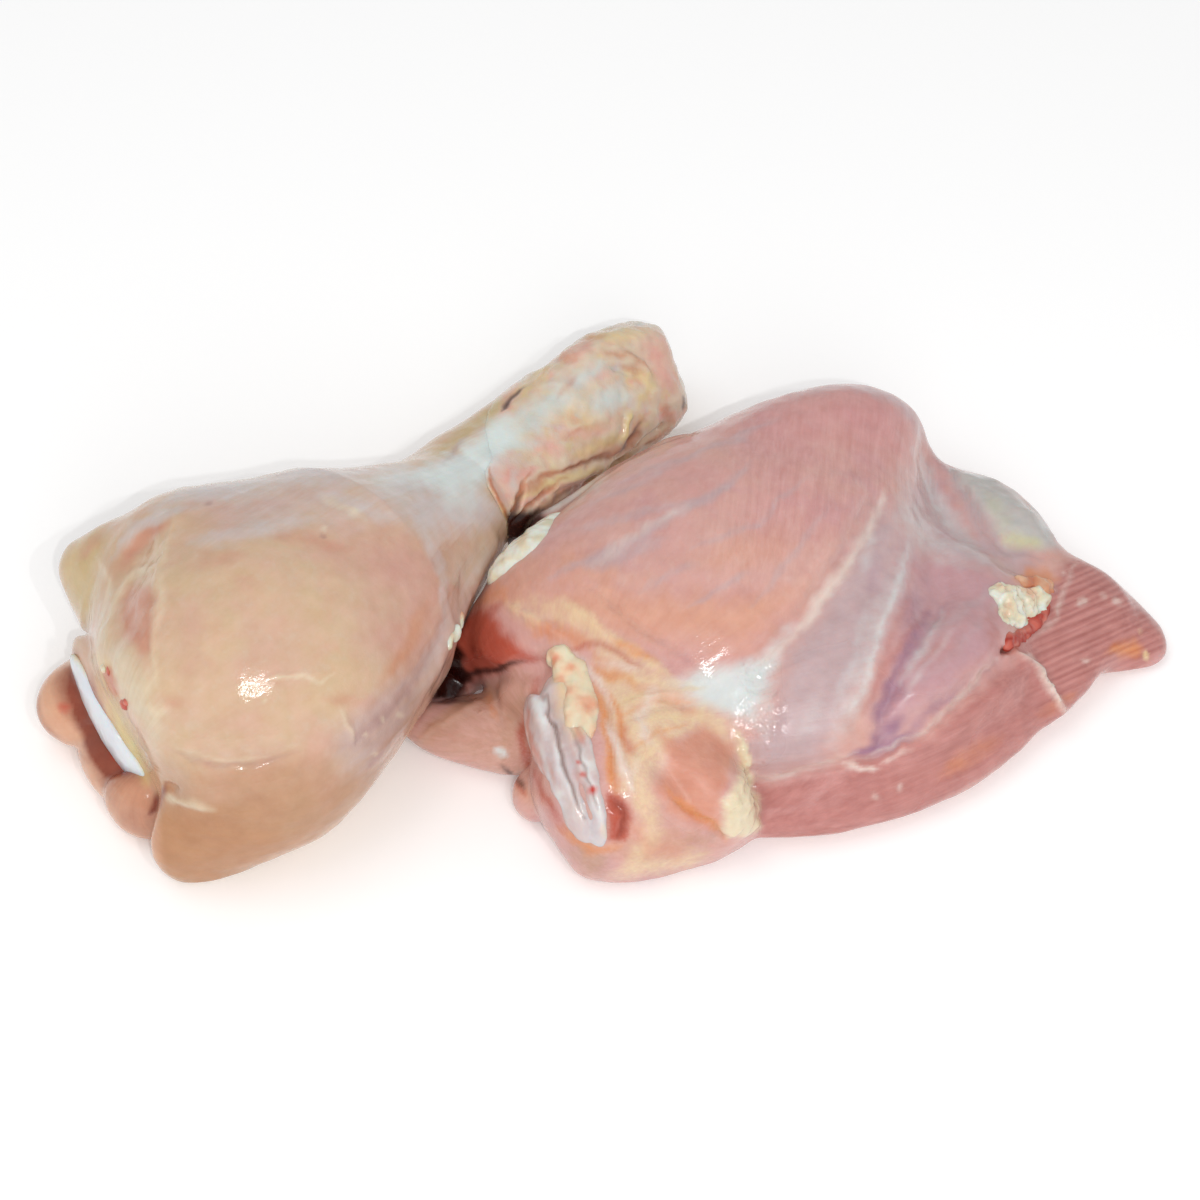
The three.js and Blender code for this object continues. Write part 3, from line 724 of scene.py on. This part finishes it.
skin = Skin(thigh, (-37, -56, -2), (100, 44, 41), THIGH_STEP)
marks = skin.marks({
    "salmon": ([(0.4, 14, 700,702, 745,712), (0.75, 46, 520,600, 600,610, 660,615, 740,622, 800,590),
        (0.6, 30, 490,605, 550,560), (0.6, 34, 550,560, 620,575), (0.5, 22, 600,850, 700,840),
        (0.6, 16, 500,778, 542,802), (0.4, 30, 700,560, 800,540)], []),
    "rose": ([(0.7, 80, 720,430, 850,415, 930,450), (0.4, 50, 840,520, 740,520)], []),
    "tan": ([(0.8, 20, 578,842, 602,872), (0.45, 28, 620,852, 720,842), (0.7, 16, 420,740, 470,700, 500,690),
        (0.5, 12, 520,690, 505,760), (0.6, 12, 1000,700, 930,770, 800,835)],
        [(0.5, 16, 402,744, 456,688, 517,666, 540,700, 530,775, 465,764)]),
    "mauve": ([(0.7, 30, 925,470, 955,560), (0.6, 26, 970,580, 1015,600), (0.5, 20, 905,540, 880,640),
        (0.35, 22, 575,850, 612,874), (0.6, 14, 410,742, 452,700, 500,674), (0.5, 30, 930,700, 990,620)],
        [(0.8, 24, 905,555, 960,550, 1005,590, 995,650, 940,700, 885,745, 880,700, 895,640)]),
    "band": ([],
        [(0.95, 9, 757,785, 840,768, 930,735, 1010,665, 1035,610, 1072,556, 1120,570, 1170,640, 1140,670, 1062,728,
           900,832, 757,850)]),
    "membrane": ([(0.6, 34, 905,480, 940,530, 985,562), (0.7, 18, 950,548, 1000,566, 1035,568),
        (0.5, 24, 890,500, 910,540, 935,560), (0.6, 14, 790,392, 831,382, 870,386, 900,400, 925,430, 940,470),
        (0.8, 9, 550,580, 625,544, 690,507, 725,488, 752,460), (0.8, 12, 940,452, 962,500, 988,545, 1030,566),
        (0.8, 12, 958,478, 985,520, 1008,550, 1042,562), (0.5, 8, 570,530, 647,512, 700,500),
        (0.6, 15, 585,568, 621,555, 665,540), (0.5, 6, 620,485, 700,452, 780,420), (0.45, 6, 590,508, 680,465),
        (0.45, 6, 750,610, 790,560, 830,505), (0.5, 6, 690,605, 750,570), (0.4, 6, 690,550, 760,520, 810,475),
        (0.4, 6, 640,590, 700,560), (0.4, 9, 1000,585, 950,622, 905,690), (0.3, 8, 1000,600, 965,640, 925,680)],
        [(0.9, 18, 880,505, 903,540, 885,600, 870,650, 850,705, 820,762, 765,770, 752,745, 775,700, 790,650,
           815,620, 850,565)]),
    "brick": ([(0.6, 9, 930,608, 905,640, 880,676, 866,712), (0.4, 7, 908,585, 890,640, 872,690),
        (0.5, 8, 985,610, 1000,655), (0.35, 18, 925,655, 960,640), (0.25, 6, 948,632, 915,672),
        (0.25, 6, 992,650, 950,690)],
        [(0.6, 14, 760,800, 840,782, 895,778, 870,812, 800,840, 762,846)]),
    # The violet mark is painted shade, tinted violet, in the valley beside the membrane and the crease over the band.
    "violet_valley_shade": ([(0.6, 11, 929,612, 902,660, 884,705, 874,738), (0.35, 26, 905,680, 880,730),
        (0.9, 9, 846,756, 878,748, 918,731), (0.3, 20, 915,590, 905,630), (0.35, 8, 905,735, 930,712, 965,685),
        (0.2, 14, 880,560, 875,600), (0.7, 14, 868,745, 885,733, 905,715), (0.25, 8, 948,605, 922,640, 900,690)],
        []),
    "white": ([(0.3, 19, 905,545, 893,585, 878,625, 864,665, 850,705, 832,745),
        (0.45, 6, 906,540, 897,574, 886,610, 873,645, 864,680, 850,712), (0.4, 8, 945,612, 922,650, 902,684),
        (0.2, 6, 962,622, 935,655, 903,702), (0.2, 7, 868,600, 852,660, 830,715),
        (0.4, 14, 914,450, 931,494, 950,525, 985,560), (0.3, 26, 900,500, 930,540, 960,560),
        (0.7, 26, 690,690, 752,700), (0.95, 13, 540,514, 571,494, 604,476), (0.9, 8, 497,750, 508,757),
        (0.35, 12, 795,624, 775,650, 755,668), (0.15, 16, 820,690, 800,740), (0.3, 9, 770,700, 765,740),
        (0.3, 12, 872,535, 866,570)],
        [(0.95, 12, 668,684, 700,674, 740,664, 778,655, 768,690, 757,722, 735,718, 700,704)]),
    "cream": ([(0.6, 6, 612,706, 656,692, 705,690), (0.6, 6, 624,736, 655,718, 692,714),
        (0.5, 14, 505,600, 545,622), (0.5, 6, 632,775, 655,745, 690,728), (0.4, 7, 600,675, 640,682, 690,684),
        (0.6, 10, 556,598, 600,630, 640,655, 672,678), (0.5, 16, 530,595, 580,625, 630,665),
        (0.6, 18, 640,780, 652,840, 625,872), (0.6, 14, 612,874, 660,866, 710,856), (0.95, 6, 1148,652),
        (0.5, 5, 1142,633), (0.3, 9, 600,690, 612,740, 622,790), (0.9, 10, 746,742, 745,760, 748,775),
        (0.4, 12, 690,712, 725,730)],
        [(0.65, 16, 600,655, 655,672, 690,700, 715,716, 742,745, 705,728, 672,742, 655,772, 640,800, 622,790,
           612,750, 604,712, 600,690)]),
    "tallow": ([(0.9, 16, 745,775, 735,800, 732,825), (0.9, 8, 746,738, 750,765), (0.6, 6, 735,728, 752,752)],
        [(0.95, 5, 742,764, 757,772, 752,790, 761,800, 756,815, 760,825, 742,836, 728,838, 718,828, 726,812,
           722,800, 732,788, 736,775)]),
    "pale": ([(0.35, 9, 590,566, 640,531, 690,508), (0.5, 9, 838,570, 812,605),
        (0.6, 8, 884,490, 872,524, 862,545, 850,560), (0.9, 11, 860,544, 838,578, 816,603, 808,620, 792,640),
        (0.5, 7, 795,632, 785,646, 755,668), (1, 6, 1006,646, 1029,660, 1040,672, 1058,698, 1065,716),
        (0.45, 6, 755,778, 793,772, 824,763, 856,753), (0.45, 5, 865,757, 927,728, 965,692, 1000,658),
        (0.9, 6, 842,764, 862,770, 880,768), (0.5, 5, 880,762, 910,749), (0.5, 5, 902,788), (0.5, 6, 875,797),
        (0.35, 5, 1078,556, 1062,600, 1052,621, 1026,647), (0.5, 7, 1054,612, 1064,605),
        (0.6, 8, 1077,605, 1086,601), (0.45, 6, 1101,594), (0.5, 7, 1110,602, 1118,598), (0.5, 5, 1085,659),
        (0.5, 4, 1066,570), (0.4, 12, 640,690, 700,700), (0.9, 8, 606,720, 622,755, 634,790),
        (0.4, 6, 640,760, 630,800), (0.6, 10, 655,690, 640,720, 650,745), (0.6, 7, 600,660, 640,672),
        (0.6, 6, 575,650, 600,680, 612,712)], []),
    "pad": ([], [(0.9, 9, 952,472, 986,470, 1015,492, 1052,528, 1060,545, 1038,553, 1011,545, 993,528, 975,506)]),
    "lime": ([(0.75, 9, 1002,535, 1020,546, 1042,549), (0.3, 14, 985,500, 1010,530)], []),
    "kneecap": ([(0.9, 10, 620,722, 634,755), (0.5, 8, 612,760, 620,790), (0.5, 9, 668,700, 700,715),
        (0.5, 16, 625,820, 650,850, 690,856)],
        [(0.85, 8, 660,735, 680,742, 705,726, 735,742, 728,770, 722,795, 714,832, 690,822, 668,812, 655,790,
           668,765)]),
    "orange": ([(0.4, 4, 618,716, 660,702, 700,701), (0.4, 4, 628,752, 655,732, 690,722),
        (0.6, 9, 612,640, 655,660), (0.9, 10, 590,680, 602,712, 610,744, 614,780, 620,800),
        (0.9, 8, 667,790, 697,814, 728,840), (0.5, 14, 474,606, 505,585), (0.7, 10, 1104,653, 1145,646),
        (0.7, 11, 1015,577, 1060,577), (0.5, 16, 530,622, 590,645), (0.7, 9, 480,585, 460,618),
        (0.7, 9, 562,826, 590,850, 618,850), (0.5, 9, 590,650, 640,690, 690,700), (0.35, 14, 940,775, 1000,738),
        (0.3, 10, 1040,718, 1075,692), (0.4, 8, 485,690, 500,720), (0.8, 7, 602,686, 618,712, 626,745),
        (0.6, 8, 590,665, 620,680)], []),
    "crimson": ([(1, 11, 1046,606, 1023,636, 1004,655), (0.75, 9, 538,680, 524,735, 538,790, 566,832),
        (0.5, 6, 750,842, 860,830), (0.6, 6, 508,772, 526,795), (0.5, 6, 500,600, 470,640),
        (0.5, 6, 640,668, 600,640, 570,650)],
        [(0.95, 9, 440,660, 452,622, 480,607, 515,640, 545,660, 505,668, 455,690),
         (0.95, 5, 608,792, 622,796, 631,820, 622,845, 606,840)]),
    # The dark mark is painted shade: the gaps beside the flap and under the sleeve, the line over the flap and the
    # hollows by the hip and the bone.
    "painted_shade": ([(0.7, 7, 1005,651), (0.25, 5, 618,802, 624,822, 617,840), (0.9, 6, 448,692, 470,676, 526,662),
        (0.7, 5, 506,766, 524,786)],
        [(1, 4, 432,700, 436,660, 453,640, 466,655, 470,680, 457,700),
         (0.9, 5, 500,545, 540,512, 545,520, 512,552)]),
    "stripes": ([],
        [(1, 12, 757,785, 840,768, 930,735, 1010,665, 1035,610, 1072,552, 1175,640, 1062,732, 900,836, 757,856)]),
    "tip": ([], [(0.8, 12, 1040,610, 1076,560, 1120,570, 1170,645, 1120,672, 1066,700, 1030,655)]),
    "sparkle": ([(1, 15, 483,713)], [(1, 12, 734,662, 775,655, 784,700, 776,755, 745,762)]),
    "dull": ([(1, 40, 470,660, 500,700)],
        [(1, 12, 782,660, 850,640, 900,690, 1000,700, 900,830, 757,850, 760,770, 785,745),
         (1, 12, 650,720, 728,715, 740,800, 690,835, 635,800)]),
})
# The dome's fibres stand upright, the tip's follow its stripes and all others fan out.
unstriped = 1 - marks["stripes"]
upright = skin.painted([], [(1, 50, 740,400, 930,390, 950,500, 870,520, 760,600, 700,560)]) * unstriped
marks |= {"upright": upright, "fanned": (1 - upright) * unstriped}
furrows = skin.relief(
    (0.35, 10, 881,494, 853,552, 816,603, 794,631, 760,662), (-0.4, 13, 868,500, 838,556, 798,610),
    (0.3, 16, 905,543, 884,615, 860,682, 831,747), (-0.6, 14, 935,620, 905,668, 884,710, 876,745),
    (0.3, 10, 940,620, 910,670, 890,715), (-0.7, 6, 762,780, 824,766, 875,756, 927,731, 965,695, 1000,663),
    (0.3, 9, 563,603, 600,630, 640,655, 665,672), (-0.7, 6, 672,797, 697,814, 722,837),
    (-0.8, 8, 614,798, 624,820, 616,840), (0.9, 5.5, 1006,646, 1040,672, 1058,698, 1063,712),
    (0.3, 4, 1072,564, 1062,600, 1031,641), (-0.6, 8, 590,590, 640,625, 690,660),
    (0.5, 7, 500,600, 540,620, 565,640), (-0.7, 6, 602,690, 612,740, 618,790), (0.7, 7, 606,722, 622,755, 634,790),
    (-0.5, 7, 620,715, 640,760), (-0.6, 7, 948,466, 972,512, 992,536, 1012,552, 1044,560),
    (-0.35, 5, 497,690, 507,738), (0.3, 6, 420,738, 460,712, 490,694), (-0.4, 5, 655,700, 690,706),
    (0.3, 5, 618,708, 660,696, 705,692), (-0.3, 4, 624,724, 660,708, 700,704), (-0.9, 7, 1005,651))
skin.push(furrows + (0.55 + 0.5 * skin.lumps(1.3, 7)) * marks["tallow"]
          + 0.7 * marks["pad"] * (1 + 0.6 * skin.lumps(3, 8))
          + 0.16 * skin.lumps(8) + 0.14 * skin.lumps(3, 3))

# Coordinates in metres that change slowly along fibres and fast across them, for the dome and the
# stripes, each by the way that its fibres run from above, in degrees.
RUN_ALONG = 0.06
DOME_RUN = 84
STRIPE_RUN = 31
for key, yaw in (("upright_run", DOME_RUN), ("stripe_run", STRIPE_RUN)):
    marks[key] = skin.points @ turned(yaw).T * (RUN_ALONG, 1, 1) / 1000

# The fan's fibres spread from a pole beside the bone's end.
FAN_ROUND = 34
FAN_ALONG = 0.03
from_pole = skin.points - np.array((-6.0, -38.0, 14.0))
reach = np.linalg.norm(from_pole, axis=1, keepdims=True)
marks["fan"] = (from_pole / reach * FAN_ROUND + from_pole * FAN_ALONG) / 1000

# The tip's ribs are followed as they are seen: they rise to the right by 30 pixels in 67.
rib_way = np.array((67.0, -30.0)) / math.hypot(67, 30)
along, across = skin.pixels @ rib_way * RUN_ALONG, skin.pixels @ (-rib_way[1], rib_way[0])
marks["rib_run"] = np.stack([along, across, 0 * across], 1) * PIXEL / 1000

thigh_finish = wet_finish(
    "thigh_finish", rgb(209, 163, 153), rgb(204, 153, 147),
    tints=(("salmon", rgb(212, 156, 130), 0.5), ("rose", rgb(203, 146, 145), 0.5), ("mauve", rgb(190, 148, 154), 0.5),
           ("tan", rgb(184, 142, 118), 0.8), ("band", rgb(184, 122, 116), 0.4),
           ("membrane", rgb(188, 164, 166), 0.7), ("brick", rgb(184, 122, 116), 0.6),
           ("violet_valley_shade", rgb(150, 108, 132), 0.6), ("white", rgb(212, 216, 214), 0.7),
           ("cream", rgb(224, 200, 160), 1.0), ("kneecap", rgb(208, 144, 120), 0.7),
           ("orange", rgb(212, 136, 84), 0.7), ("tallow", rgb(222, 208, 178), 1.0), ("pale", rgb(222, 202, 192), 0.9),
           ("pad", rgb(186, 186, 182), 0.6), ("lime", rgb(200, 197, 158), 0.8), ("crimson", rgb(176, 78, 58), 0.6),
           ("painted_shade", rgb(44, 12, 8), 0.3)),
    streaks=(("fan", "fanned", 620, 0.2), ("upright_run", "upright", 1100, 0.35),
             ("stripe_run", "stripes", 900, 0.5)),
    patches=((rgb(210, 166, 150), 90, 0.5, 0.4), (rgb(186, 138, 148), 110, 0.52, 0.4),
             (rgb(214, 180, 170), 420, 0.54, 0.3)),
    grained="fan", dull="dull", sparkle="sparkle", ribs=("rib_run", "tip", 262, 0.24))
thigh_surface = skin
flesh = skin.piece("thigh_flesh", thigh_finish, marks)
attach(flesh, "root")
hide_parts("thigh_meat")

# ------------------------------------------------------------------------------ thigh bone end
# The thigh bone's knuckle, which stands out of the cut flesh: lilac white cartilage in long thin
# plates that lie side by side, with brown grooves between them, a small foot at the front and a
# rounded knob at the back, spotted with blood.

KNUCKLE_STEP = 0.3
bone_end = grown(
    lump((-6.9, -39.8, 15.7), (14.2, 3.1, 6.2), turned(-70, -9)),
    (lump((-3.9, -40.4, 17.7), (13.5, 2.3, 5.8), turned(-70, -12)), 1),
    (lump((-2.0, -40.6, 18.2), (11.8, 1.8, 5.4), turned(-74, -17)), 1),
    (lump((-0.4, -50.6, 13.0), (3.2, 1.8, 2.8), turned(-70, -14)), 2),
    (lump((-4.4, -30, 21.2), (5.6, 4.2, 3.8), turned(-60)), 2),
)
skin = Skin(bone_end, (-20, -62, 4), (10, -20, 32), KNUCKLE_STEP)
long_groove, short_groove = (546,697, 556,735, 566,770, 584,822), (570,725, 582,765, 598,812)
marks = skin.marks({
    "frost": ([(0.9, 10, 536,668, 540,700, 546,735), (0.5, 8, 552,742, 566,780, 584,815),
        (0.5, 8, 574,738, 590,782, 603,838), (0.4, 9, 534,740, 548,780, 570,818)], []),
    "rim": ([(0.5, 6, 588,735, 600,760, 608,790), (0.5, 7, 600,825, 606,840)],
        [(0.9, 9, 542,655, 580,650, 600,700, 594,732, 572,735, 556,700)]),
    "rust": ([(0.7, 5, 527,700, 530,735, 543,780, 566,822), (0.4, 6, 545,760, 556,785), (0.4, 8, 575,770, 588,800),
        (0.9, 9, 531,662, 535,690), (0.5, 6, 575,715, 580,745)], []),
    "groove": ([(0.8, 4, *long_groove), (0.5, 4, *short_groove)], []),
    "blood": ([(1, 9, 591,790), (0.9, 8, 531,668, 535,688), (0.7, 5, 583,775), (0.7, 5, 578,762)], []),
})
skin.push(0.2 * skin.lumps(3.4, 2) + 0.12 * skin.lumps(1.6)
          + skin.relief((-0.4, 4, *long_groove), (-0.3, 4, *short_groove)))
knuckle_finish = wet_finish(
    "knuckle_finish", rgb(204, 192, 194), rgb(202, 180, 172),
    tints=(("frost", rgb(222, 226, 226), 0.9), ("rim", rgb(224, 194, 158), 1.0), ("rust", rgb(200, 126, 106), 0.9),
           ("groove", rgb(142, 108, 98), 0.5), ("blood", rgb(196, 56, 40), 0.4)),
    patches=((rgb(212, 210, 206), 280, 0.5, 0.6), (rgb(196, 156, 154), 260, 0.53, 0.6)),
    roughness=0.14, grain=0.00014, see_in=0.4)
knuckle = skin.piece("thigh_knuckle", knuckle_finish, marks)
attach(knuckle, "root")
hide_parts("thigh_bone_end")

# ------------------------------------------------------------------------------ bits of fat
# Soft fat, gristle and clotted blood that stick to the flesh where it was cut: a crumbly cluster
# with gristle and clots on the hip, clots and beads at the drumstick's knee, knobs over the thigh
# bone's end, beads along the drumstick's edge, and a pad of fat where the two pieces touch.

FAT_STEP = 0.3

fat_finish = wet_finish(
    "fat_finish", rgb(222, 211, 184), rgb(208, 208, 182),
    (("blush", rgb(226, 164, 132), 0.9), ("pale", rgb(224, 226, 216), 0.9)), grain=0.0002, see_in=0.4)


def bead(at, out, half, angle, sunk):
    """A lump seated on a surface, with its long side at this angle as the photograph shows it."""
    turn = math.radians(angle)
    way = math.cos(turn) * np.array((1.0, 0, 0)) + math.sin(turn) * RISE
    way -= out * (way @ out)
    way /= np.linalg.norm(way)
    return lump(at - sunk * out, half, np.array((way, np.cross(out, way), out)))


def fat(name, surface, beads, step=FAT_STEP, roughen=0.25, blush=0.6, softness=0.8, pale=0.7,
        finish=fat_finish):
    """Fat grown from beads of (pixel x, pixel y, sunk by, half along, across, thick, angle seen).
    It is made rough by this many millimetres, and blush and pale are how much of it they cover."""
    forms = []
    for x, y, sunk, along, across, thick, angle in beads:
        at, out = surface.pick(x, y)
        forms.append((at, bead(at, out, (along, across, thick), angle, sunk)))
    middles = np.array([at for at, _ in forms])
    margin = 2 + max(max(bead[3:6]) for bead in beads)
    low = middles.min(0) - margin
    made = Skin(lying(grown(forms[0][1], *((form, softness) for _, form in forms[1:]))),
                (low[0], low[1], max(low[2], -1)), middles.max(0) + margin, step)
    patches = made.lumps(2.4, 11)
    made.push(roughen * made.lumps(1.8) + roughen * 0.6 * made.lumps(0.9, 4))
    piece = made.piece(name, finish, {"blush": np.clip((patches - 0.1) * 2.5 * blush, 0, 1),
                                      "pale": np.clip(pale - patches * 2.5 - 0.6, 0, 1) * 0.8})
    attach(piece, "root")


knob_finish = wet_finish(
    "knob_finish", rgb(228, 204, 172), rgb(230, 192, 162),
    (("blush", rgb(222, 148, 118), 0.9), ("pale", rgb(222, 214, 186), 0.9)), see_in=0.4)
gristle_finish = wet_finish(
    "gristle_finish", rgb(206, 146, 112), rgb(212, 166, 130),
    (("blush", rgb(188, 100, 70), 0.9), ("pale", rgb(216, 178, 150), 0.9)), grain=0.0002)
clot_finish = wet_finish(
    "clot_finish", rgb(172, 58, 44), rgb(148, 34, 24),
    (("blush", rgb(204, 104, 88), 0.9), ("pale", rgb(206, 124, 108), 0.9)), see_in=0.1)
fat("hip_fat", thigh_surface,
    ((1000, 590, 0.3, 2.2, 1.6, 1.5, 30), (1010, 597, 0.2, 2.4, 2.0, 1.7, 60), (1022, 595, 0.3, 2.2, 1.7, 1.5, -10),
     (1034, 597, 0.4, 2.0, 1.6, 1.4, 30), (1045, 600, 0.4, 1.7, 1.4, 1.2, 0), (1028, 608, 0.3, 2.4, 1.8, 1.5, 20),
     (1014, 609, 0.2, 2.2, 1.8, 1.6, 70), (1040, 610, 0.4, 1.6, 1.2, 1.1, 50), (1020, 620, 0.5, 2.0, 1.3, 1.1, 20),
     (1004, 604, 0.4, 1.5, 1.3, 1.1, 0), (1008, 618, 0.6, 1.6, 1.1, 0.9, 0), (1030, 619, 0.6, 1.5, 1.0, 0.9, 30)),
    step=0.25, roughen=0.75, blush=0.35, softness=1.6)
fat("hip_gristle", thigh_surface,
    ((1026, 580, 0.5, 2.2, 1.3, 1.2, 15), (1038, 576, 0.5, 2.2, 1.4, 1.2, -20), (1049, 583, 0.6, 1.9, 1.4, 1.1, 60)),
    roughen=0.5, finish=gristle_finish)
fat("hip_clots", thigh_surface,
    ((1047, 608, 0.5, 2.0, 1.1, 0.9, 50), (1043, 614, 0.5, 2.2, 1.2, 0.9, 50), (1037, 620, 0.5, 2.2, 1.3, 0.9, 50),
     (1031, 627, 0.5, 2.2, 1.4, 0.9, 45), (1025, 633, 0.5, 2.2, 1.4, 0.9, 30), (1017, 638, 0.5, 2.0, 1.3, 0.9, 20),
     (1011, 643, 0.5, 1.6, 1.1, 0.9, 30)),
    step=0.2, roughen=0.35, blush=0.9, softness=1.6, finish=clot_finish)
fat("knee_clots", drumstick_surface,
    ((104, 673, 0.35, 1.1, 0.4, 0.5, -60), (120, 706, 0.25, 1.0, 0.8, 0.8, -60), (122, 703, 0.25, 0.7, 0.6, 0.7, 0),
     (117, 753, 0.3, 1.2, 0.7, 0.7, 20), (128, 764, 0.3, 0.9, 0.7, 0.7, 40)), step=0.2, roughen=0.3, finish=clot_finish)
fat("knee_knobs", thigh_surface,
    ((553, 656, 0.6, 2.2, 1.7, 1.5, 30), (566, 664, 0.4, 2.8, 1.7, 1.6, 100),
     (562, 684, -0.3, 4.2, 1.7, 1.6, 103), (578, 676, 0.4, 3.2, 1.6, 1.4, 100), (576, 700, 0.0, 4.4, 1.6, 1.6, 108),
     (590, 700, 0.5, 3.4, 1.4, 1.2, 112), (572, 716, -0.4, 3.4, 1.5, 1.5, 105), (588, 724, 0.1, 3.0, 1.2, 1.2, 108)),
    softness=1.8, finish=knob_finish)
fat("touching_fat", thigh_surface,
    ((546, 516, 0.8, 2.6, 1.2, 1.2, 35), (536, 526, 0.9, 3.4, 2.2, 1.5, 45), (528, 538, 1.0, 3.8, 3.2, 1.6, 40),
     (516, 549, 1.0, 3.8, 3.2, 1.6, 35), (503, 560, 0.9, 3.4, 2.4, 1.5, 35), (494, 570, 0.9, 2.6, 1.6, 1.3, 45)),
    roughen=0.22, blush=0.1, softness=3, pale=1.5)
fat("edge_beads", drumstick_surface,
    ((460, 632, 0.3, 1.5, 1.0, 1.0, 50), (466, 621, 0.4, 1.8, 0.8, 0.8, 60), (453, 644, 0.4, 1.6, 0.7, 0.8, 55),
     (99, 669, 0.2, 0.9, 0.8, 0.7, 0), (112, 748, 0.3, 0.8, 0.6, 0.6, 0)),
    roughen=0.2, blush=0.8, softness=1.5)

# ------------------------------------------------------------------------------ floor and light
# A plain pale board, four metres wide so that its edge isn't seen, under soft studio light. Two
# wide lamps light the meat, and two tiny ones make its wet surface glint.

bpy.ops.mesh.primitive_plane_add(size=4)
floor = bpy.context.object
floor.name = "floor"
floor_finish = bpy.data.materials.new("floor_finish")
floor_finish.use_nodes = True
for socket, value in (("Base Color", (0.97, 0.97, 0.97, 1)), ("Emission Color", (1, 1, 1, 1)),
                      ("Emission Strength", 0.1), ("Roughness", 0.8)):
    floor_finish.node_tree.nodes["Principled BSDF"].inputs[socket].default_value = value
floor.data.materials.append(floor_finish)

# Each lamp's name, place in metres, watts, width in metres and whether the meat mirrors it.
LIT_SPOT = Vector((0, 0, 0.01))
for name, place, watts, width, mirrored in (
        ("above", (-0.3, -0.1, 0.95), 1.8, 0.6, False), ("front", (0.1, -0.75, 0.6), 2.1, 0.5, False),
        ("flash", (0.04, -0.54, 0.57), 0.9, 0.008, True), ("second_flash", (0.13, -0.5, 0.58), 0.5, 0.006, True)):
    light = bpy.data.lights.new(name, "AREA")
    light.energy, light.size = watts, width
    lamp = bpy.data.objects.new(name, light)
    lamp.location = place
    lamp.rotation_euler = (LIT_SPOT - Vector(place)).to_track_quat("-Z", "Y").to_euler()
    lamp.visible_glossy = mirrored
    scene.collection.objects.link(lamp)

WORLD_LIGHT = 0.55
scene.world = bpy.data.worlds.new("studio")
scene.world.use_nodes = True
sky = scene.world.node_tree.nodes["Background"].inputs
sky["Color"].default_value, sky["Strength"].default_value = (1, 1, 1, 1), WORLD_LIGHT
scene.view_settings.view_transform = "Standard"
